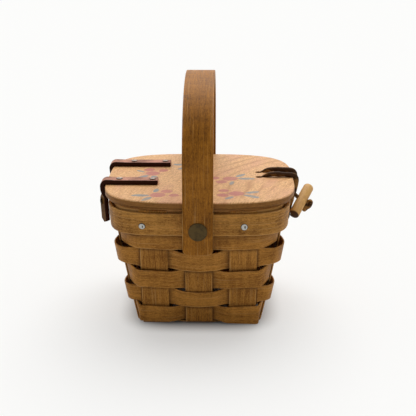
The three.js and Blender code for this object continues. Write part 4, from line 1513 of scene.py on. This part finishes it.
def strap_point(lid, leather, y, run, along, across):
    """Point of a strap's middle sheet: along runs 0 to 1 on the lid, to 2 over the edge, to 3 down."""
    edge = -lid_reach(lid, y)
    half = leather.strap_thickness / 2.0
    level = lid.top + LID_GAP + half
    centre = Vector((edge + lid.rounding, lid.top - lid.rounding))
    radius = lid.rounding + EDGE_GAP + half
    aside = leather.strap_width * across
    if along <= 1.0:
        start = edge + run
        lift = EDGE_LIFT * eased(along, *LIFT_RUN)
        return (start + (centre.x - start) * along, y + aside, level + lift)
    if along <= 2.0:
        angle = math.pi / 2.0 * along
        return (centre.x + radius * math.cos(angle), y + aside, centre.y + radius * math.sin(angle))
    share = along - 2.0
    hang = centre.y - lid.top + leather.strap_drop - TIP_SLOPE * abs(across)
    twist = STRAP_TWIST * eased(share, *TWIST_RUN)
    aside *= 1.0 - STRAP_SLIM * eased(share, *SLIM_RUN)
    crease = STRAP_CREASE * math.exp(-(((share - CREASE_PLACE) / CREASE_WIDTH) ** 2))
    x = centre.x - radius + STRAP_LEAN * share + crease
    return (x - aside * math.sin(twist), y + aside * math.cos(twist), centre.y - hang * share)


def build_strap(lid, leather, where, y, run):
    """Strap laid over the lid's edge and down past the tack in the band."""
    steps = [leg + step / count for leg, count in enumerate(STRAP_STEPS) for step in range(count)]
    steps.append(float(len(STRAP_STEPS)))

    def point(column, row):
        return strap_point(lid, leather, y, run, steps[column], row / STRAP_ROWS - 0.5)

    bm = strip_mesh(len(steps) - 1, STRAP_ROWS, point, STRAP_SHIFT + y)
    x = Vector(point(len(steps) - 1, STRAP_ROWS // 2)).x
    blend = ("basket", "lid", (x, y, BEND_BOTTOM), (x, y, BEND_TOP))
    name = f"hinge_strap_{where}"
    finish_piece(bm, name, "strap", "lid", leather.strap_thickness, STRAP_ROUNDING, blend=blend)


def build_strap_nails(lid, leather, rim, where, y):
    """Two nails on the lid and a tack in the band."""
    for which in ("inner", "outer"):
        name = f"strap_nail_{where}_{which}"
        z = lid.top + leather.strap_thickness - STRAP_NAIL_SINK
        bm = nail_mesh(rim, Vector((box_middle(name).x, y, z)), UP, STRAP_NAIL_TILT)
        finish_piece(bm, name, "nail", "lid", look="strap_nail")
    name = f"strap_tack_{where}"
    low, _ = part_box(name)
    bm = nail_mesh(rim, Vector((low[0] + TACK_HEAD, y, box_middle(name).z)), -RIGHT, TACK_TILT)
    finish_piece(bm, name, "nail", "basket", look="tack")


def build_straps(lid, leather, rim):
    for where, y, run in STRAPS:
        build_strap(lid, leather, where, y * MM, run * MM)
        build_strap_nails(lid, leather, rim, where, y * MM)


# Latch lace, tether and peg


CORD_SIDES = 12
KNOT_SIDES = 8
KNOT_STEPS = 72
# Width of the knots under the lid and on the tether, and thickness of their cords
LACE_KNOT = (5.6 * MM, 2.4 * MM)
INNER_KNOT = (6.6 * MM, 2.7 * MM)
OUTER_KNOT = (6.6 * MM, 3.2 * MM)
OUTER_KNOT_STRETCH = 2.2
# Drop of the knots under the lid, and run of the tether's knots beyond its inner and outer ends
LACE_KNOT_DROP = 2.7 * MM
INNER_KNOT_RUN = 2.2 * MM
OUTER_KNOT_RUN = 0.3 * MM
# Space between the lid's edge and the hanging lace
HANG_GAP = 0.3 * MM
# Depth of each unevenness of the lace's thickness, and its turns in radians a step
LACE_SWELLS = ((0.06, 0.9), (0.05, 0.37))
LACE_FULLNESS = 0.98
# Largest share of a stretch that a rounded turn takes up
TURN_SHARE = 0.48
# Rounding of the lace's turns, and steps of each
LACE_TURN = 3.2 * MM
LACE_TURN_STEPS = 5
LACE_STEP = 0.9 * MM
LACE_FLATNESS = 0.86
# Squareness of the loop's foot, and its steps
BIGHT_POWER = 0.75
BIGHT_STEPS = 12
# Thickness of the lace in its hole, as a share, and the way on which it swells to its full thickness
HOLE_SHARE = 0.4
SWELL_RUN = 9.0 * MM
# The tether: its foot on the band, the run to its bend, the bend's radius, the way on to the peg's middle
TETHER_FOOT = (59.289 * MM, 79.0 * MM)
TETHER_LEAD = 1.0 * MM
TETHER_BEND = 6.0 * MM
TETHER_BEND_STEPS = 6
TETHER_REACH = 6.9 * MM
TETHER_STEP = 0.8 * MM
# From the tether's foot through the wall, on to its inner end, and from the peg to its outer end
TETHER_THROUGH = 6.9 * MM
TETHER_END = 1.6 * MM
PEG_STEPS = 48


def knot_mesh(middle, axis, size, cord, stretch=1.0):
    """Small closed knot of cord: a three-lobed ring, drawn out one way."""
    turn = Vector(axis).to_track_quat("Z", "Y").to_matrix()
    path = []
    scale = (size - cord) / 2.0 / 3.0
    for step in range(KNOT_STEPS):
        angle = math.tau * step / KNOT_STEPS
        reach = 2.0 + math.cos(3.0 * angle)
        x = reach * math.cos(2.0 * angle)
        y = reach * math.sin(2.0 * angle) * stretch
        path.append(Vector(middle) + turn @ (Vector((x, y, 1.5 * math.sin(3.0 * angle))) * scale))
    radii = [cord / 2.0] * len(path)
    return swept_mesh(path, radii, sides=KNOT_SIDES, closed=True, reference=turn @ UP)


def rounded_path(corners, radius, steps):
    """Line through the corners with each turn rounded off."""
    path = [corners[0]]
    for before, here, after in zip(corners, corners[1:], corners[2:]):
        back = (before - here).normalized() * min(radius, (before - here).length * TURN_SHARE)
        on = (after - here).normalized() * min(radius, (after - here).length * TURN_SHARE)
        for step in range(steps + 1):
            share = step / steps
            first = (here + back).lerp(here, share)
            second = here.lerp(here + on, share)
            path.append(first.lerp(second, share))
    path.append(corners[-1])
    return path


def resampled(path, step):
    """Points at an even spacing along a line."""
    fine = [path[0]]
    for start, end in zip(path, path[1:]):
        count = max(1, round((end - start).length / step))
        for index in range(1, count + 1):
            fine.append(start.lerp(end, index / count))
    return fine


def strand_places(leather):
    """Distances of the lace's two strands behind the middle."""
    half = leather.lace_spread / 2.0
    return leather.fittings_y - half, leather.fittings_y + half


def lace_corners(lid, leather, hang_x):
    """Points of the lace: up through one hole, over the edge, round the loop's foot and back."""
    half = leather.lace_spread / 2.0
    hole = leather.lace_hole
    on_top = lid.top + leather.lace * 0.4
    edge = lid_reach(lid, leather.fittings_y)
    tuck_x = hang_x - leather.loop_tuck
    low = lid.top - 1.7 * MM - leather.loop_drop
    leg = (
        (hole - 0.4 * MM, lid.bottom - 4.0 * MM),
        (hole - 0.4 * MM, lid.top - 1.6 * MM),
        (hole + 4.0 * MM, lid.top + 1.2 * MM),
        (hole + 10.0 * MM, on_top + 0.9 * MM),
        (edge - 7.0 * MM, on_top + 0.5 * MM),
        (hang_x, on_top),
        (hang_x, lid.bottom + 0.4 * MM),
        (tuck_x, low + half + 2.2 * MM),
    )
    bight = []
    for step in range(1, BIGHT_STEPS):
        angle = math.pi * step / BIGHT_STEPS
        aside = half * signed_power(math.cos(angle), BIGHT_POWER)
        down = math.sin(angle) ** BIGHT_POWER
        x = tuck_x - leather.loop_curl * down
        bight.append(Vector((x, leather.fittings_y - aside, low + half * (1.0 - down))))
    front, back = [[Vector((x, y, z)) for x, z in leg] for y in strand_places(leather)]
    return front + bight + back[::-1]


def build_lace(lid, leather):
    """Both strands, the loop and the knots under the lid, as one lace that turns down over the lid's edge.
    """
    radius = leather.lace / 2.0
    hang_x = lid_reach(lid, leather.fittings_y) + radius + HANG_GAP
    corners = lace_corners(lid, leather, hang_x)
    path = resampled(rounded_path(corners, LACE_TURN, LACE_TURN_STEPS), LACE_STEP)
    radii = []
    for index, here in enumerate(path):
        swell = sum(depth * math.sin(index * turn) for depth, turn in LACE_SWELLS)
        out_of_hole = smooth_step((here.x - leather.lace_hole) / SWELL_RUN)
        grown = HOLE_SHARE + (1.0 - HOLE_SHARE) * out_of_hole
        radii.append(radius * (LACE_FULLNESS + swell) * grown)
    cords = [swept_mesh(path, radii, CORD_SIDES, LACE_FLATNESS, reference=BACKWARD)]
    for y in strand_places(leather):
        cords.append(knot_mesh((leather.lace_hole, y, lid.bottom - LACE_KNOT_DROP), UP, *LACE_KNOT))
    start = (hang_x, leather.fittings_y, lid.top + 0.5 * MM)
    end = (hang_x + 3.0 * MM, leather.fittings_y, lid.bottom + 1.0 * MM)
    nodes = ["lace_strand_front", "lace_strand_back", "latch_loop"]
    blend = ("lid", "loop", start, end)
    finish_piece(merged(cords), "latch_lace", "lace", "lid", nodes=nodes, blend=blend)


def tether_line(leather):
    """Foot of the tether on the band, its bend, the peg's middle and the ways of tether and peg."""
    droop = math.radians(leather.droop)
    out = Vector((math.cos(droop), 0.0, -math.sin(droop)))
    upright = Vector((math.sin(droop), 0.0, math.cos(droop)))
    axis = Matrix.Rotation(-math.radians(leather.peg_turn), 3, out) @ upright
    foot = Vector((TETHER_FOOT[0], leather.fittings_y, TETHER_FOOT[1]))
    bend = []
    for step in range(TETHER_BEND_STEPS + 1):
        angle = droop * step / TETHER_BEND_STEPS
        run = TETHER_LEAD + TETHER_BEND * math.sin(angle)
        bend.append(foot + Vector((run, 0.0, -TETHER_BEND * (1.0 - math.cos(angle)))))
    pivot = bend[-1] + out * TETHER_REACH
    return foot, bend, pivot, out, axis


def peg_profile(leather):
    """Dowel with one end cut and eased and the other rounded."""
    wide = leather.peg / 2.0
    half = leather.peg_length / 2.0
    return (
        (0.0, -half),
        (wide - 0.7 * MM, -half),
        (wide - 0.25 * MM, -half + 0.2 * MM),
        (wide, -half + 0.7 * MM),
        (wide * 1.01, -half * 0.5),
        (wide, 0.0),
        (wide * 1.01, half * 0.5),
        (wide, half - 1.6 * MM),
        (wide - 0.4 * MM, half - 0.7 * MM),
        (wide - 1.1 * MM, half - 0.15 * MM),
        (0.0, half),
    )


def build_toggle(leather):
    """Tether with a knot at each end, and the peg on it."""
    foot, bend, pivot, out, axis = tether_line(leather)
    inner = foot - RIGHT * TETHER_THROUGH
    outer = pivot + out * (leather.peg / 2.0 + TETHER_END)
    path = resampled([inner - RIGHT * TETHER_END, inner, *bend, outer], TETHER_STEP)
    radii = [leather.tether / 2.0] * len(path)
    cords = [
        swept_mesh(path, radii, CORD_SIDES, reference=BACKWARD),
        knot_mesh(inner - RIGHT * INNER_KNOT_RUN, RIGHT, *INNER_KNOT),
        knot_mesh(outer + out * OUTER_KNOT_RUN, out, *OUTER_KNOT, OUTER_KNOT_STRETCH),
    ]
    finish_piece(merged(cords), "toggle_tether", "lace", "basket")
    bm = turned_mesh(peg_profile(leather), PEG_STEPS, pivot, axis)
    finish_piece(bm, "toggle_peg", "peg", "peg")


# Handle


LEG_STEPS = 26
ARCH_STEPS = 72
HANDLE_ROWS = 12
HANDLE_SHIFT = 6.2
HANDLE_ROUNDING = 0.7 * MM


def handle_line(handle):
    """Depths and heights of the handle's middle line, from the front foot to the back one."""
    leg = handle.spring - handle.foot
    heights = [handle.foot + leg * step / LEG_STEPS for step in range(LEG_STEPS)]
    arch = []
    for step in range(ARCH_STEPS + 1):
        angle = math.pi * (1.0 - step / ARCH_STEPS)
        y = handle.leg * signed_power(math.cos(angle), handle.arch_power)
        arch.append((y, handle.spring + handle.rise * math.sin(angle) ** handle.arch_power))
    return [(-handle.leg, z) for z in heights] + arch + [(handle.leg, z) for z in reversed(heights)]


def build_handle(handle):
    """Bent strap: two straight legs with rounded feet and an arch with full shoulders between them."""
    line = handle_line(handle)
    radius = handle.foot_round

    def point(column, row):
        y, z = line[column]
        across = handle.width * math.sin(math.pi * (row / HANDLE_ROWS - 0.5)) / 2.0
        inset = max(0.0, abs(across) - (handle.width / 2.0 - radius))
        rounding = radius - math.sqrt(max(0.0, radius * radius - inset * inset))
        share = min(1.0, (z - handle.foot) / (handle.spring - handle.foot))
        return (across, y, z + rounding * (1.0 - share))

    bm = strip_mesh(len(line) - 1, HANDLE_ROWS, point, HANDLE_SHIFT)
    finish_piece(bm, "handle", "handle", "handle", handle.thickness, HANDLE_ROUNDING)


# Operators


class BasketOperator:
    bl_options = {"REGISTER", "UNDO"}


class BASKET_OT_stage(BasketOperator, bpy.types.Operator):
    """Set up the floor, the light and the camera, and make the materials"""

    bl_idname = "basket.stage"
    bl_label = "Stage"

    def execute(self, context):
        scene = context.scene
        stage_view(scene.basket_colours)
        dress(scene.basket_colours, scene.basket_lid)
        return {"FINISHED"}


class BASKET_OT_stakes(BasketOperator, bpy.types.Operator):
    """Lay the six splints of the floor and fold them up as stakes"""

    bl_idname = "basket.stakes"
    bl_label = "Stakes and Floor"

    def execute(self, context):
        build_stakes(context.scene.basket_weave)
        return {"FINISHED"}


class BASKET_OT_rows(BasketOperator, bpy.types.Operator):
    """Weave the five closed rows round the stakes"""

    bl_idname = "basket.rows"
    bl_label = "Weaver Rows"

    def execute(self, context):
        build_rows(context.scene.basket_weave, context.scene.basket_rim)
        return {"FINISHED"}


class BASKET_OT_rim(BasketOperator, bpy.types.Operator):
    """Bend the two rim bands and drive their nails"""

    bl_idname = "basket.rim"
    bl_label = "Rim Bands and Nails"

    def execute(self, context):
        scene = context.scene
        build_bands(scene.basket_weave, scene.basket_rim)
        build_rim_nails(scene.basket_weave, scene.basket_rim)
        return {"FINISHED"}


class BASKET_OT_lid(BasketOperator, bpy.types.Operator):
    """Cut the lid board with its rounded edge and lace holes"""

    bl_idname = "basket.lid"
    bl_label = "Lid Board"

    def execute(self, context):
        build_lid(context.scene.basket_lid, context.scene.basket_leather)
        return {"FINISHED"}


class BASKET_OT_straps(BasketOperator, bpy.types.Operator):
    """Nail the two leather hinge straps over the lid's edge"""

    bl_idname = "basket.straps"
    bl_label = "Hinge Straps"

    def execute(self, context):
        scene = context.scene
        build_straps(scene.basket_lid, scene.basket_leather, scene.basket_rim)
        return {"FINISHED"}


class BASKET_OT_latch(BasketOperator, bpy.types.Operator):
    """Thread the latch lace and hang the peg on its tether"""

    bl_idname = "basket.latch"
    bl_label = "Latch Lace and Peg"

    def execute(self, context):
        scene = context.scene
        build_lace(scene.basket_lid, scene.basket_leather)
        build_toggle(scene.basket_leather)
        return {"FINISHED"}


class BASKET_OT_handle(BasketOperator, bpy.types.Operator):
    """Bend the handle and set its two rivets"""

    bl_idname = "basket.handle"
    bl_label = "Handle and Rivets"

    def execute(self, context):
        scene = context.scene
        build_handle(scene.basket_handle)
        build_rivets(scene.basket_rim, scene.basket_handle)
        return {"FINISHED"}


class BASKET_PT_build(bpy.types.Panel):
    """Steps of the basket in the order they are made"""

    bl_idname = "BASKET_PT_build"
    bl_label = "Picnic Basket"
    bl_space_type = "VIEW_3D"
    bl_region_type = "UI"
    bl_category = "Basket"

    def draw(self, context):
        for step in STEPS:
            self.layout.operator(step.bl_idname)


STEPS = (
    BASKET_OT_stage,
    BASKET_OT_stakes,
    BASKET_OT_rows,
    BASKET_OT_rim,
    BASKET_OT_lid,
    BASKET_OT_straps,
    BASKET_OT_latch,
    BASKET_OT_handle,
)

GROUPS = {
    "basket_weave": BasketWeave,
    "basket_rim": BasketRim,
    "basket_lid": BasketLid,
    "basket_handle": BasketHandle,
    "basket_leather": BasketLeather,
    "basket_colours": BasketColours,
}


def register():
    for each in (*GROUPS.values(), *STEPS, BASKET_PT_build):
        bpy.utils.register_class(each)
    for name, group in GROUPS.items():
        setattr(bpy.types.Scene, name, bpy.props.PointerProperty(type=group))


def unregister():
    for name in GROUPS:
        delattr(bpy.types.Scene, name)
    for each in (BASKET_PT_build, *reversed(STEPS), *GROUPS.values()):
        bpy.utils.unregister_class(each)


def main():
    register()
    bpy.ops.basket.stage()
    bpy.ops.basket.stakes()
    bpy.ops.basket.rows()
    bpy.ops.basket.rim()
    bpy.ops.basket.lid()
    bpy.ops.basket.straps()
    bpy.ops.basket.latch()
    bpy.ops.basket.handle()


if __name__ == "__main__":
    main()
